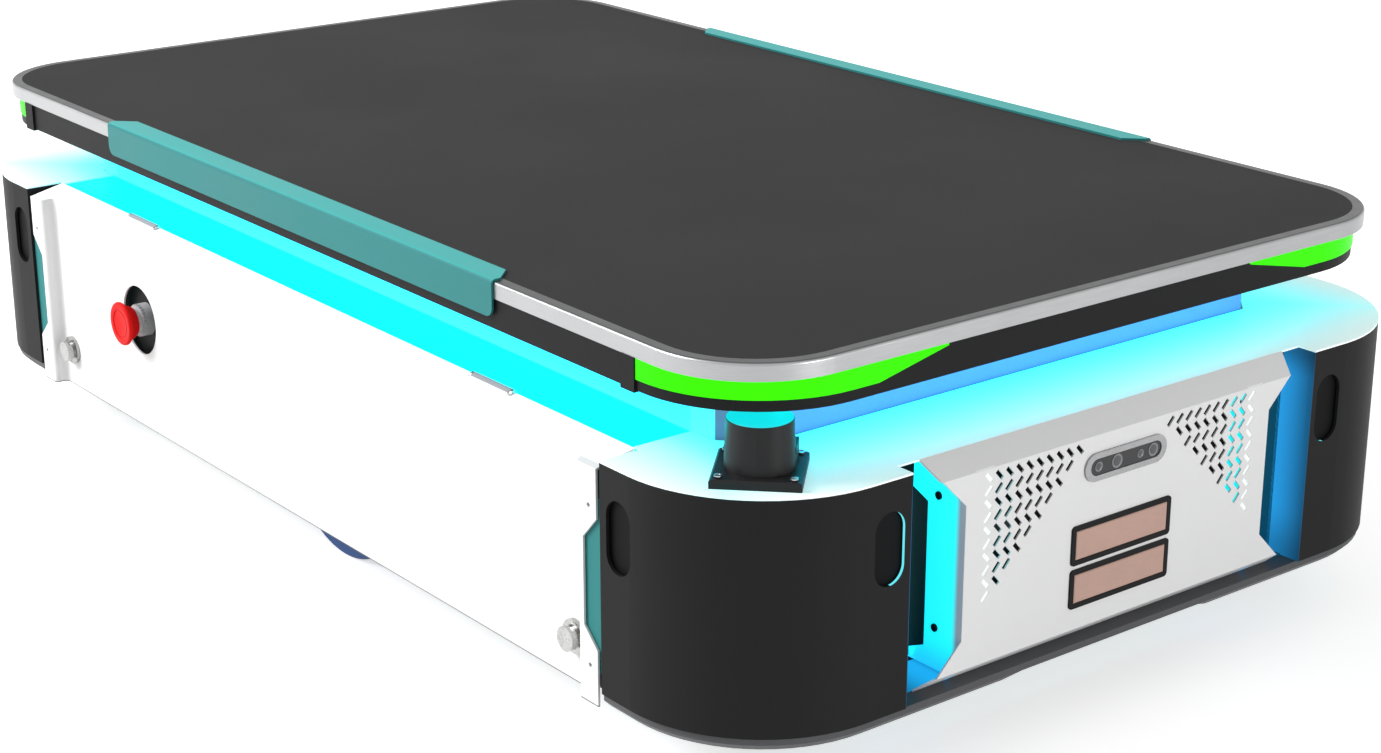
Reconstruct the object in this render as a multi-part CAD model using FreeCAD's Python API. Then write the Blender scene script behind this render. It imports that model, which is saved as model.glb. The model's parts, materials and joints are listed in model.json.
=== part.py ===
import FreeCAD
import Part
import math
import os

# Autonomous mobile robot with a lifting deck.
# Frame: +X forward, +Y left, +Z up; the origin is on the floor under the middle of the robot.
# Everything is in millimetres. The lifting deck is at its lowest position.

# Body
body_length = 1340.0
body_width = 800.0
body_top = 263.5
corner_radius = 128.0
shell_bottom = 70.0
shell_wall = 3.0
shell_lip = 12.0
shell_lip_thickness = 3.0
cover_thickness = 1.5
end_opening = 462.0        # clear width between the corner shells, front and rear
side_opening = 1012.0      # clear length between the corner shells, left and right
return_depth = 33.0        # how far a shell's end wall runs into the body
side_return_depth = 44.0

# Slot recesses in the shells
recess_width = 30.0
recess_height = 60.0
recess_drop = 56.0         # below the body's top
recess_inset = 23.0        # from the end of the shell to the middle of the recess
recess_depth = 4.2         # from the shell's face to the window set behind it
recess_wall = 1.8
recess_undercut = 1.6

# Base rim under the shells
rim_bottom = 58.0
rim_inset = 2.0
rim_width = 30.0
rim_chamfer = 6.0
arch_rise = 6.0
arch_width = 208.0
arch_ramp = 16.0

# Chassis
rail_width = 40.0
rail_height = 60.0
rail_wall = 4.0
rail_bottom = 148.0
rail_inset = 155.0         # from the body's side
rail_length = 1208.0
cross_beam_x = [300.0, 550.0]
end_plate_thickness = 6.0
end_plate_margin = 9.0
vent_window = 92.0
pan_length = 940.0
pan_side_gap = 15.0        # to the inner face of the rails
pan_bottom = 60.0
pan_thickness = 3.0
bulkhead_thickness = 4.0
sill_bottom = 60.0
sill_height = 18.0
sill_depth = 35.0
sill_inset = 18.0          # from the body's side
outrigger_x = [170.0, 440.0]
outrigger_thickness = 5.0
channel_depth = 18.5       # below the body's top
channel_wall = 2.0

# Light strips
strip_length = 994.0
strip_inset = 38.8         # from the body's side
strip_thickness = 3.0
strip_gap = 1.8            # between the strip and the lift skirt
light_bar_width = 40.0
light_bar_depth = 5.0
light_bar_drop = 11.5      # below the body's top

# Deck
deck_length = 1285.4
deck_inset = 20.0          # from the body's side
deck_radius = 93.8
deck_clearance = 56.5      # between the body's top and the deck's core
core_height = 26.0
deck_plate_thickness = 14.2
mat_thickness = 3.0
mat_border = 10.6
mat_gap = 0.3
core_inset = 1.5
core_radius = 112.0
core_skin = 4.0
core_rib = 14.0
core_border = 40.0
pocket_rows = 3
pocket_columns = 4
lens_height = 17.0
lens_depth = 9.0
lens_start_x = 525.0       # where the front lenses begin on the side
lens_rear_start_x = 538.0
lens_end_y = 172.0
lens_taper = 70.0
lens_gap = 0.3
lens_proud = 1.0
end_block_length = 17.0
end_block_proud = 2.2
end_block_drop = 1.5
guard_length = 678.0
guard_sheet = 2.0
guard_top_width = 25.0
guard_drop = 30.0
guard_corner = 16.0
guard_round = 9.0
guard_bend = 4.0
guard_gap = 0.3

# Lift
lift_stroke = 45.0
skirt_length = 1104.0
skirt_inset = 97.0         # from the body's side
skirt_chamfer = 30.0
skirt_sheet = 2.5
skirt_overlap = 48.5       # how far the skirt hangs into the body
jack_x = 430.0
jack_side_gap = 55.0       # from its middle to the rails
jack_radius = 42.0
jack_bottom = 88.0
jack_top = 205.0
jack_floor = 12.0
jack_foot_width = 70.0
jack_foot_height = 56.0
jack_motor_radius = 30.0
jack_motor_offset = 78.0
jack_motor_top = 190.0
jack_drive_height = 20.0
ram_radius = 25.0
ram_bore = 18.0
ram_bottom = 130.0
ram_nut_height = 30.0
ram_flange_radius = 45.0
ram_flange = 8.0
screw_radius = 8.0
screw_end_gap = 20.0       # below the deck's core
screw_collar = 14.0
screw_collar_height = 6.0
running_gap = 0.05

# Drive wheels
wheel_radius = 105.0
tyre_thickness = 15.0
wheel_width = 56.0
wheel_inset = 67.0         # from the body's side
wheel_hub_radius = 34.0
wheel_web = 14.0
wheel_bolts = 6
wheel_bolt_circle = 46.0
wheel_bolt_radius = 4.5
shaft_radius = 12.0
gearbox_radius = 34.0
gearbox_length = 55.0
motor_radius = 30.0
motor_length = 125.0
motor_fin = 2.0
bracket_width = 130.0
bracket_thickness = 10.0
bracket_inset = 130.0      # from the body's side
bracket_bottom = 66.0
bracket_bore = 20.0
bracket_flange = 8.0

# Casters
caster_x = 550.0
caster_inset = 118.0       # from the body's side
caster_radius = 40.0
caster_tread = 6.0
caster_width = 28.0
caster_trail = 25.0
caster_axle = 5.0
caster_gap = 1.5
fork_sheet = 4.0
fork_crown_radius = 30.0
fork_top = 98.0
swivel_gap = 0.5
swivel_pin = 9.0
mount_plate_bottom = 104.0
mount_plate_thickness = 8.0
mount_plate_size = 90.0

# Front and rear panels
panel_half_width = 200.0
panel_waist = 175.0
panel_top_half = 208.5
panel_sheet = 1.5
panel_band_depth = 18.0
panel_fold_drop = 15.5     # below the body's top
panel_fold_bottom = 85.0
panel_notch_drop = 40.5
panel_notch_bottom = 110.0
panel_seat = 0.3
cheek_depth = 60.0
cheek_bottom = 76.0
cheek_drop = 18.5
cheek_step = 10.0
cheek_step_low = 84.0
cheek_step_drop = 49.5
cheek_hole_radius = 2.2
cheek_hole_x = 30.0        # back from the panel's face
cheek_hole_low = 111.3
cheek_hole_drop = 41.0

# Herringbone vents
vent_rows = 10
vent_pitch = 11.0
vent_outer_y = 151.5
vent_drop = 23.0           # from the body's top to the first row
vent_slot_length = 9.6
vent_slot_width = 3.7
vent_slot_angle = 42.0
vent_blind_depth = 0.8     # the outermost slots don't go through

# Depth cameras
camera_drop = 42.0         # below the body's top
camera_width = 94.0
camera_height = 24.0
camera_proud = 2.0
camera_body_width = 88.0
camera_body_height = 20.0
camera_body_depth = 25.0
camera_window_width = 81.4
camera_window_height = 14.0
camera_window_thickness = 2.3
camera_gap = 0.3

# Charging contacts
contact_width = 115.0
contact_height = 34.0
contact_centres_z = [158.6, 121.0]
contact_proud = 1.5
contact_border = 4.5
contact_corner = 3.5
contact_pad_proud = 1.8
contact_gap = 0.2

# Side doors
door_inset = 14.0          # from the body's side to a door's face
door_joggle = 13.5
door_half_length = 500.5
door_flange_width = 26.5
door_bottom = 56.5
door_sheet = 2.0
door_bend = 6.5
door_edge_bend = 5.0
door_lip_reach = 23.4      # from the door's face to the lip's inner edge
door_lip_drop = 0.223
door_notch_low = 104.0
door_notch_drop = 49.5
door_notch_depth = 17.5
door_notch_ramp_low = 17.0
door_notch_ramp_high = 19.0
door_hole_radius = 2.0
door_hole_reach = 16.5      # from the fold to the holes in the flange
door_hole_low = 89.0
door_hole_drop = 40.5
hinge_x = 310.0
hinge_setback = 22.5       # behind the door's face
hinge_drop = 1.5           # below the body's top
hinge_length = 54.0
hinge_radius = 4.0
hinge_pin = 1.85
hinge_ear = 3.0
hinge_gap = 0.6
knob_z = 96.5
knob_shaft = 5.0
knob_washer_radius = 14.5
knob_washer = 3.0
knob_neck_radius = 8.5
knob_neck = 2.5
knob_head_radius = 10.5
knob_head = 5.5
knob_flat = 8.4
cam_length = 17.0
cam_width = 10.0
cam_thickness = 3.0
keeper_thickness = 1.5
keeper_width = 24.0
keeper_top = 88.0

# Accent plates beside the doors
accent_bottom = 84.0
accent_drop = 34.5         # below the body's top
accent_sheet = 2.5
accent_inner = 478.0
accent_setback = 0.7       # behind the door flange's inner face

# Emergency stops
estop_x = 291.0
estop_z = 170.0
estop_hole = 35.0
estop_cap_radius = 22.0
estop_reach = 21.5         # in front of the door's face
estop_cap_rim = 4.5
estop_cap_height = 14.0
estop_cap_waist = 14.8
estop_cap_hollow = 13.2
estop_cap_hollow_depth = 6.5
estop_face_depth = 1.2     # the cap's dished face
estop_face_reach = 17.0
estop_ring = 14.5
estop_ring_width = 1.4
estop_ring_depth = 0.9
estop_travel = 4.0
estop_collar_radius = 12.7
estop_collar_base = 16.5
estop_stem_radius = 9.0
estop_setback = 9.0        # behind the door's face
estop_dish_radius = 40.0
estop_dish = 4.0
estop_box_depth = 45.0
estop_box_size = 56.0
collar_teeth = 28
collar_tooth = 1.1
collar_tooth_length = 3.5

# Corner scanners
scanner_x = 601.5
scanner_inset = 77.6       # from the body's side
scanner_base_size = 69.0
scanner_base_height = 7.0
scanner_foot_radius = 27.0
scanner_top_radius = 25.5
scanner_height = 46.0
scanner_cap_chamfer = 0.8
scanner_screw_pitch = 56.0
scanner_screw_radius = 2.6
scanner_screw_head = 1.6

# Battery and controller
battery_length = 225.0
battery_side_gap = 35.0    # to the inner face of the rails
battery_height = 80.0
controller_length = 220.0
controller_side_gap = 75.0
controller_height = 74.0
bay_gap = 8.0

# Values worked out from the driving dimensions
half_length = body_length / 2
half_width = body_width / 2
rail_y = half_width - rail_inset
rail_inner = rail_y - rail_width / 2
pan_width = 2 * (rail_inner - pan_side_gap)
battery_width = 2 * (rail_inner - battery_side_gap)
controller_width = 2 * (rail_inner - controller_side_gap)
jack_y = rail_inner - jack_side_gap
caster_y = half_width - caster_inset
wheel_outer = half_width - wheel_inset
bracket_outer = half_width - bracket_inset
sill_outer = half_width - sill_inset
sill_inner = sill_outer - sill_depth
strip_outer = half_width - strip_inset
skirt_half_y = half_width - skirt_inset
deck_width = body_width - 2 * deck_inset
scanner_y = half_width - scanner_inset
door_face = half_width - door_inset
door_flange_face = door_face + door_joggle
door_lip_inner = door_face - door_lip_reach
hinge_y = door_face - hinge_setback
estop_cap_face = door_face + estop_reach
estop_seat = door_face - estop_setback
core_bottom = body_top + deck_clearance
deck_top = core_bottom + core_height + deck_plate_thickness
screw_top = core_bottom - screw_end_gap
skirt_bottom = body_top - skirt_overlap
channel_floor = body_top - channel_depth
hinge_z = body_top - hinge_drop
recess_z = body_top - recess_drop
panel_fold_top = body_top - panel_fold_drop
panel_notch_top = body_top - panel_notch_drop
cheek_top = body_top - cheek_drop
cheek_step_high = body_top - cheek_step_drop
cheek_holes_z = [body_top - cheek_hole_drop, cheek_hole_low]
vent_top_z = body_top - vent_drop
camera_z = body_top - camera_drop
door_notch_high = body_top - door_notch_drop
door_holes_z = [door_hole_low, body_top - door_hole_drop]
accent_top = body_top - accent_drop
shell_top = body_top - cover_thickness
end_half = end_opening / 2
side_half = side_opening / 2
skirt_half_x = skirt_length / 2
rail_top = rail_bottom + rail_height
rail_half = rail_length / 2
end_plate_face = rail_half + end_plate_thickness
end_plate_half = end_half - end_plate_margin
deck_core_top = deck_top - deck_plate_thickness
strip_inner = skirt_half_y + strip_gap
strip_half = strip_length / 2
strip_top = body_top - 1.0
strip_bottom = strip_top - strip_thickness

panel_band_x = half_length - panel_band_depth
panel_band_bottom = shell_bottom + panel_seat
pan_top = pan_bottom + pan_thickness
wheel_inner = wheel_outer - wheel_width
hub_radius = wheel_radius - tyre_thickness
wheel_z = wheel_radius
estop_cap_back = estop_cap_face - estop_cap_height
door_fold = door_half_length - door_flange_width
knob_x = door_fold - door_bend - knob_washer_radius
guard_inner = deck_width / 2 + guard_gap
guard_flange_inner = guard_inner + guard_sheet - guard_top_width
hinge_room = hinge_length / 2 + hinge_gap + hinge_ear + 1
mount_plate_top = mount_plate_bottom + mount_plate_thickness

X = FreeCAD.Vector(1, 0, 0)
Y = FreeCAD.Vector(0, 1, 0)
Z = FreeCAD.Vector(0, 0, 1)
ORIGIN = FreeCAD.Vector(0, 0, 0)


# Plain shapes

def box(x0, x1, y0, y1, z0, z1):
    return Part.makeBox(x1 - x0, y1 - y0, z1 - z0, FreeCAD.Vector(x0, y0, z0))


def cylinder(radius, start, end, direction=Z, at=(0, 0)):
    """A cylinder along X, Y or Z from start to end; at gives its other two coordinates."""
    if direction == X:
        base = FreeCAD.Vector(start, at[0], at[1])
    elif direction == Y:
        base = FreeCAD.Vector(at[0], start, at[1])
    else:
        base = FreeCAD.Vector(at[0], at[1], start)
    return Part.makeCylinder(radius, end - start, base, direction)


def cone(radius_low, radius_high, z0, z1, x, y):
    return Part.makeCone(radius_low, radius_high, z1 - z0, FreeCAD.Vector(x, y, z0), Z)


def prism(points, plane, start, end):
    """Extrude a closed outline. plane names the outline's two axes, such as "yz"."""
    if plane == "xy":
        corners = [FreeCAD.Vector(a, b, start) for a, b in points]
        direction = Z
    elif plane == "xz":
        corners = [FreeCAD.Vector(a, start, b) for a, b in points]
        direction = Y
    else:
        corners = [FreeCAD.Vector(start, a, b) for a, b in points]
        direction = X
    wire = Part.makePolygon(corners + [corners[0]])
    return Part.Face(wire).extrude(direction * (end - start))


def vertical_edges(shape):
    found = []
    for edge in shape.Edges:
        low = edge.Vertexes[0].Point
        high = edge.Vertexes[-1].Point
        if abs(low.x - high.x) < 1e-6 and abs(low.y - high.y) < 1e-6:
            found.append(edge)
    return found


def edges_along(shape, direction):
    """The straight edges that run along X, Y or Z."""
    found = []
    for edge in shape.Edges:
        run = edge.Vertexes[-1].Point - edge.Vertexes[0].Point
        if run.Length > 1e-6 and run.cross(direction).Length < 1e-6:
            found.append(edge)
    return found


def edges_at(shape, x, y):
    """The upright edges at plus and minus x on the line y."""
    found = []
    for edge in vertical_edges(shape):
        point = edge.Vertexes[0].Point
        if abs(abs(point.x) - x) < 0.01 and abs(point.y - y) < 0.01:
            found.append(edge)
    return found


def rounded_plate(length, width, radius, z0, z1):
    block = box(-length / 2, length / 2, -width / 2, width / 2, z0, z1)
    return block.makeFillet(radius, vertical_edges(block))


def chamfered_block(half_x, half_y, chamfer, z0, z1):
    outline = [
        (half_x, half_y - chamfer), (half_x - chamfer, half_y),
        (chamfer - half_x, half_y), (-half_x, half_y - chamfer),
        (-half_x, chamfer - half_y), (chamfer - half_x, -half_y),
        (half_x - chamfer, -half_y), (half_x, chamfer - half_y),
    ]
    return prism(outline, "xy", z0, z1)


def obround(width, height, start, end, direction, across, z):
    """A slot shape with round ends, extruded along X or Y, centred at (across, z)."""
    radius = min(width, height) / 2
    reach = abs(width - height) / 2
    if width > height:
        ends = [(across - reach, z), (across + reach, z)]
        middle = [across - reach, across + reach, z - radius, z + radius]
    else:
        ends = [(across, z - reach), (across, z + reach)]
        middle = [across - radius, across + radius, z - reach, z + reach]
    if direction == X:
        bar = box(start, end, middle[0], middle[1], middle[2], middle[3])
    else:
        bar = box(middle[0], middle[1], start, end, middle[2], middle[3])
    return bar.fuse([cylinder(radius, start, end, direction, e) for e in ends]).removeSplitter()


def mirror_x(shape):
    return shape.mirror(ORIGIN, X)


def mirror_y(shape):
    return shape.mirror(ORIGIN, Y)


def turn_round(shape):
    """The same shape at the other end and the other side of the robot."""
    turned = shape.copy()
    turned.rotate(ORIGIN, Z, 180)
    return turned


def four_corners(shape):
    return [shape, mirror_x(shape), mirror_y(shape), mirror_x(mirror_y(shape))]


def group(shapes):
    return Part.makeCompound(shapes)


# Shells and base rim

def shell_ring(inset, wall, z0, z1):
    outer = rounded_plate(
        body_length - 2 * inset, body_width - 2 * inset, corner_radius - inset, z0, z1)
    far = inset + wall
    inner = rounded_plate(
        body_length - 2 * far, body_width - 2 * far, corner_radius - far, z0, z1)
    return outer.cut(inner)


def corner_shell():
    """The front left shell: a curved wall with two slot recesses, end walls and a top lip."""
    corner = box(side_half, half_length + 1, end_half, half_width + 1, shell_bottom, shell_top)
    wall = shell_ring(0, shell_wall, shell_bottom, shell_top)
    lip = shell_ring(shell_wall, shell_lip, shell_top - shell_lip_thickness, shell_top)
    shell = wall.fuse(lip).common(corner)
    inner_x = half_length - shell_wall
    inner_y = half_width - shell_wall
    end_wall = box(inner_x - return_depth, inner_x + 1, end_half, end_half + shell_wall,
                   shell_bottom, shell_top)
    side_wall = box(side_half, side_half + shell_wall, inner_y - side_return_depth, inner_y + 1,
                    shell_bottom, shell_top)
    shell = shell.fuse([end_wall, side_wall]).removeSplitter()
    side_recess = obround(recess_width, recess_height, inner_y - 1, half_width + 1, Y,
                          side_half + recess_inset, recess_z)
    end_recess = obround(recess_width, recess_height, inner_x - 1, half_length + 1, X,
                         end_half + recess_inset - shell_wall / 2, recess_z)
    cups = [recess_cup(Y, side_half + recess_inset, half_width),
            recess_cup(X, end_half + recess_inset - shell_wall / 2, half_length)]
    return shell.cut([side_recess, end_recess]).fuse(cups).removeSplitter()


def recess_cup(direction, across, face):
    """The moulded pocket behind one slot recess, a little wider than the slot itself."""
    wide = recess_width + 2 * recess_undercut
    tall = recess_height + 2 * recess_undercut
    floor = face - recess_depth
    back = face - shell_wall
    outer = obround(wide + 2 * recess_wall, tall + 2 * recess_wall, floor - recess_wall, back,
                    direction, across, recess_z)
    hollow = obround(wide, tall, floor, back + 1, direction, across, recess_z)
    return outer.cut(hollow)


def rim_ring():
    outer = rounded_plate(body_length - 2 * rim_inset, body_width - 2 * rim_inset,
                          corner_radius - rim_inset, rim_bottom, shell_bottom)
    bottom_edges = [e for e in outer.Edges if e.BoundBox.ZMax < rim_bottom + 0.01]
    outer = outer.makeChamfer(rim_chamfer, bottom_edges)
    far = rim_inset + rim_width
    inner = rounded_plate(body_length - 2 * far, body_width - 2 * far, corner_radius - far,
                          rim_bottom, shell_bottom)
    return outer.cut(inner)


def base_rim():
    ring = rim_ring()
    corner = ring.common(box(side_half, half_length, end_half, half_width,
                             rim_bottom, shell_bottom))
    bar = ring.common(box(half_length - 2 * rim_width, half_length, -end_half, end_half,
                          rim_bottom, shell_bottom))
    low = rim_bottom - 1
    flat = arch_width / 2
    ramp = flat + arch_ramp
    arch = prism([(-ramp, rim_bottom), (-flat, rim_bottom + arch_rise),
                  (flat, rim_bottom + arch_rise), (ramp, rim_bottom), (ramp, low), (-ramp, low)],
                 "yz", half_length - 2 * rim_width, half_length + 1)
    bar = bar.cut(arch)
    return group(four_corners(corner) + [bar, mirror_x(bar)])


def top_cover():
    """The front cover: it rests on the shells and ends round the lift skirt."""
    plate = rounded_plate(body_length, body_width, corner_radius, shell_top, body_top)
    plate = plate.common(box(side_half, half_length, -half_width, half_width,
                             shell_top, body_top))
    tongue = box(strip_half + 1, side_half, strip_inner, strip_outer, shell_top, body_top)
    plate = plate.fuse([tongue, mirror_y(tongue)])
    lift_hole = chamfered_block(skirt_half_x + strip_gap, strip_inner, skirt_chamfer,
                                shell_top - 1, body_top + 1)
    front_notch = box(panel_band_x, half_length + 1, -end_half, end_half,
                      shell_top - 1, body_top + 1)
    return plate.cut([lift_hole, front_notch]).removeSplitter()


# Chassis

def rail(length, width, height, z0):
    outer = box(-length / 2, length / 2, -width / 2, width / 2, z0, z0 + height)
    inner = box(-length / 2, length / 2, rail_wall - width / 2, width / 2 - rail_wall,
                z0 + rail_wall, z0 + height - rail_wall)
    return outer.cut(inner)


def frame_rails():
    left = rail(rail_length, rail_width, rail_height, rail_bottom)
    left.translate(Y * rail_y)
    return group([left, mirror_y(left)])


def cross_beams():
    beams = []
    inner_y = rail_y - rail_width / 2
    for x in cross_beam_x:
        beam = rail(2 * inner_y, rail_width, rail_height, rail_bottom)
        beam.rotate(ORIGIN, Z, 90)
        beam.translate(X * x)
        beams += [beam, mirror_x(beam)]
    return group(beams)


def outrigger(x):
    """A plate that carries the sill and the light channel from the rail."""
    rail_side = rail_y + rail_width / 2
    outline = [
        (rail_side, rail_bottom), (rail_side, rail_top), (strip_inner + 3, rail_top),
        (strip_inner + 3, channel_floor), (strip_outer - 6, channel_floor),
        (strip_outer - 6, sill_bottom + sill_height), (sill_inner, sill_bottom + sill_height),
        (sill_inner - 8, sill_bottom + sill_height + 8),
    ]
    plate = prism(outline, "yz", x - outrigger_thickness / 2, x + outrigger_thickness / 2)
    hole = cylinder(16, x - outrigger_thickness, x + outrigger_thickness, X,
                    ((rail_side + sill_outer) / 2, rail_bottom + 24))
    return plate.cut(hole)


def outriggers():
    plates = []
    for x in outrigger_x:
        plates += four_corners(outrigger(x))
    return group(plates)


def eye_rooms(z0, z1):
    """The space round the left door's hinge eyes, cut from the pieces beside them."""
    back = hinge_y - hinge_radius - hinge_gap
    return [box(x - hinge_room, x + hinge_room, back, strip_outer + 1, z0, z1)
            for x in (hinge_x, -hinge_x)]


def pin_ear(x):
    """An ear that holds one end of a door's hinge pin."""
    eye = cylinder(hinge_radius, x, x + hinge_ear, X, (hinge_y, hinge_z))
    arm = box(x, x + hinge_ear, strip_outer - 2, hinge_y + 1.5, channel_floor + 1, hinge_z)
    return eye.fuse(arm)


def side_sill():
    """The left sill: a box tube under the door, with a keeper plate at each latch."""
    sill = box(-side_half, side_half, sill_inner, sill_outer, sill_bottom,
               sill_bottom + sill_height)
    hollow = box(-side_half, side_half, sill_inner + 3, sill_outer - 3,
                 sill_bottom + 3, sill_bottom + sill_height - 3)
    pieces = []
    keeper_face = door_face - door_sheet - 0.6
    for x in (knob_x, -knob_x):
        low = x - keeper_width / 2
        high = x + keeper_width / 2
        pieces.append(box(low, high, keeper_face - keeper_thickness, keeper_face,
                          sill_bottom + 4, keeper_top))
        pieces.append(box(low, high, sill_outer - 1, keeper_face,
                          sill_bottom + 4, sill_bottom + sill_height - 4))
    return sill.cut(hollow).fuse(pieces).removeSplitter()


def light_channel():
    """The left channel that holds the top light strip, with the door's two hinge pins."""
    outer_y = strip_outer - 0.2
    channel = box(-strip_half, strip_half, strip_inner, outer_y, channel_floor, strip_bottom)
    hollow = box(-strip_half, strip_half, strip_inner + channel_wall,
                 outer_y - channel_wall, channel_floor + channel_wall, strip_bottom)
    pieces = []
    for centre in (hinge_x, -hinge_x):
        left_end = centre - hinge_length / 2 - hinge_gap - hinge_ear
        right_end = centre + hinge_length / 2 + hinge_gap
        pin = cylinder(hinge_pin, left_end, right_end + hinge_ear, X, (hinge_y, hinge_z))
        pieces += [pin_ear(left_end), pin_ear(right_end), pin]
    rooms = eye_rooms(hinge_z - hinge_radius - hinge_gap, strip_bottom + 1)
    return channel.cut([hollow] + rooms).fuse(pieces).removeSplitter()


def end_plate():
    """The upright plate that the front panel and lights mount on, with two air windows."""
    plate = box(rail_half, end_plate_face, -end_plate_half, end_plate_half,
                shell_bottom, shell_top)
    window_low = vent_top_z - vent_window
    window = box(rail_half - 1, end_plate_face + 1, vent_outer_y - vent_window, vent_outer_y,
                 window_low, vent_top_z)
    return plate.cut([window, mirror_y(window)])


def end_plates():
    front = end_plate()
    return group([front, mirror_x(front)])


def belly_pan():
    return box(-pan_length / 2, pan_length / 2, -pan_width / 2, pan_width / 2,
               pan_bottom, pan_top)


def pan_hanger():
    """A bulkhead that hangs the floor pan from the front cross beam."""
    x = cross_beam_x[0]
    half = pan_width / 2 - 5
    web = box(x - bulkhead_thickness / 2, x + bulkhead_thickness / 2, -half, half,
              pan_top, rail_bottom)
    flange = box(x - rail_width / 2, x + rail_width / 2, -half, half,
                 rail_bottom - bulkhead_thickness, rail_bottom)
    foot = box(x - rail_width / 2, x + rail_width / 2, -half, half,
               pan_top, pan_top + bulkhead_thickness)
    openings = [cylinder(24, x - rail_width, x + rail_width, X, (y, rail_bottom - 40))
                for y in (-120, -40, 40, 120)]
    return web.cut(openings).fuse([flange, foot]).removeSplitter()


def bay_start():
    return gearbox_radius + bay_gap


def battery_pack():
    """A battery box with a handle recess and a connector on its rear face."""
    front = -bay_start()
    back = front - battery_length
    case = box(back, front, -battery_width / 2, battery_width / 2, pan_top,
               pan_top + battery_height)
    case = case.makeChamfer(4, [e for e in case.Edges if e.BoundBox.ZMin > pan_top + 1])
    lid_line = box(back - 1, front + 1, -battery_width / 2 - 1, battery_width / 2 + 1,
                   pan_top + battery_height - 16, pan_top + battery_height - 14)
    core = box(back + 2, front - 2, 2 - battery_width / 2, battery_width / 2 - 2,
               pan_top, pan_top + battery_height)
    plug = box(back - 12, back, -30, 30, pan_top + 20, pan_top + 50)
    return case.cut(lid_line.cut(core)).fuse(plug)


def controller_box():
    """The control unit: a finned case."""
    back = bay_start()
    front = back + controller_length
    height = controller_height
    case = box(back, front, -controller_width / 2, controller_width / 2, pan_top,
               pan_top + height)
    grooves = []
    fin_count = 12
    pitch = controller_width / fin_count
    for index in range(1, fin_count):
        y = index * pitch - controller_width / 2
        grooves.append(box(back - 1, front + 1, y - pitch / 4, y + pitch / 4,
                           pan_top + height - 12, pan_top + height + 1))
    return case.cut(grooves)


# Drive

def gearmotor():
    """The left gearmotor: a finned motor on a round gearbox."""
    outer = bracket_outer - bracket_thickness
    middle = outer - gearbox_length
    gearbox = cylinder(gearbox_radius, middle, outer, Y, (0, wheel_z))
    motor = cylinder(motor_radius, middle - motor_length, middle, Y, (0, wheel_z))
    rings = []
    for index in range(5):
        start = middle - motor_length + 20 + index * 16
        ring = cylinder(motor_radius, start, start + 8, Y, (0, wheel_z))
        rings.append(ring.cut(cylinder(motor_radius - motor_fin, start, start + 8, Y,
                                       (0, wheel_z))))
    bore = cylinder(shaft_radius + running_gap, outer - 30, outer, Y, (0, wheel_z))
    return gearbox.fuse(motor).cut(rings + [bore])


def drive_bracket():
    """The left drive bracket: an upright plate with a flange under the rail and two gussets."""
    inner = bracket_outer - bracket_thickness
    plate = box(-bracket_width / 2, bracket_width / 2, inner, bracket_outer,
                bracket_bottom, rail_bottom)
    flange = box(-bracket_width / 2, bracket_width / 2, rail_y - rail_width / 2, inner,
                 rail_bottom - bracket_flange, rail_bottom)
    gusset_x = bracket_width / 2
    slope = [(inner, rail_bottom - bracket_flange), (rail_y - rail_width / 2,
             rail_bottom - bracket_flange), (inner, rail_bottom - 45)]
    gusset = prism(slope, "yz", gusset_x - 6, gusset_x)
    bore = cylinder(bracket_bore, inner - 1, bracket_outer + 1, Y, (0, wheel_z))
    return plate.fuse([flange, gusset, mirror_x(gusset)]).cut(bore).removeSplitter()


def drive_hub():
    """The left wheel's rim, web, hub and shaft."""
    rim = cylinder(hub_radius, wheel_inner, wheel_outer, Y, (0, wheel_z))
    well_radius = hub_radius - 8
    web_inner = wheel_inner + (wheel_width - wheel_web) / 2
    web_outer = web_inner + wheel_web
    outer_well = cylinder(well_radius, web_outer, wheel_outer + 1, Y, (0, wheel_z))
    inner_well = cylinder(well_radius, wheel_inner - 1, web_inner, Y, (0, wheel_z))
    hub = cylinder(wheel_hub_radius, wheel_inner, wheel_outer - 6, Y, (0, wheel_z))
    shaft = cylinder(shaft_radius, bracket_outer - bracket_thickness - 28, wheel_inner + 1, Y,
                     (0, wheel_z))
    holes = []
    bolts = []
    for index in range(wheel_bolts):
        angle = 2 * math.pi * index / wheel_bolts
        x = math.cos(angle)
        z = math.sin(angle)
        hole_at = (x * (well_radius + wheel_hub_radius) / 2,
                   wheel_z + z * (well_radius + wheel_hub_radius) / 2)
        holes.append(cylinder(12, wheel_inner, wheel_outer, Y, hole_at))
        bolt_at = (x * wheel_bolt_circle / 2, wheel_z + z * wheel_bolt_circle / 2)
        bolts.append(cylinder(wheel_bolt_radius, wheel_outer - 7, wheel_outer - 1, Y, bolt_at))
    wheel = rim.cut([outer_well, inner_well]).cut(holes)
    return wheel.fuse([hub, shaft] + bolts).removeSplitter()


def drive_tyre():
    tyre = cylinder(wheel_radius, wheel_inner, wheel_outer, Y, (0, wheel_z))
    shoulders = [e for e in tyre.Edges if e.Length > 100 and e.isClosed()]
    tyre = tyre.makeFillet(4, shoulders)
    return tyre.cut(cylinder(hub_radius, wheel_inner, wheel_outer, Y, (0, wheel_z)))


# Casters, modelled at the front left and mirrored to the other corners

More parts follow.
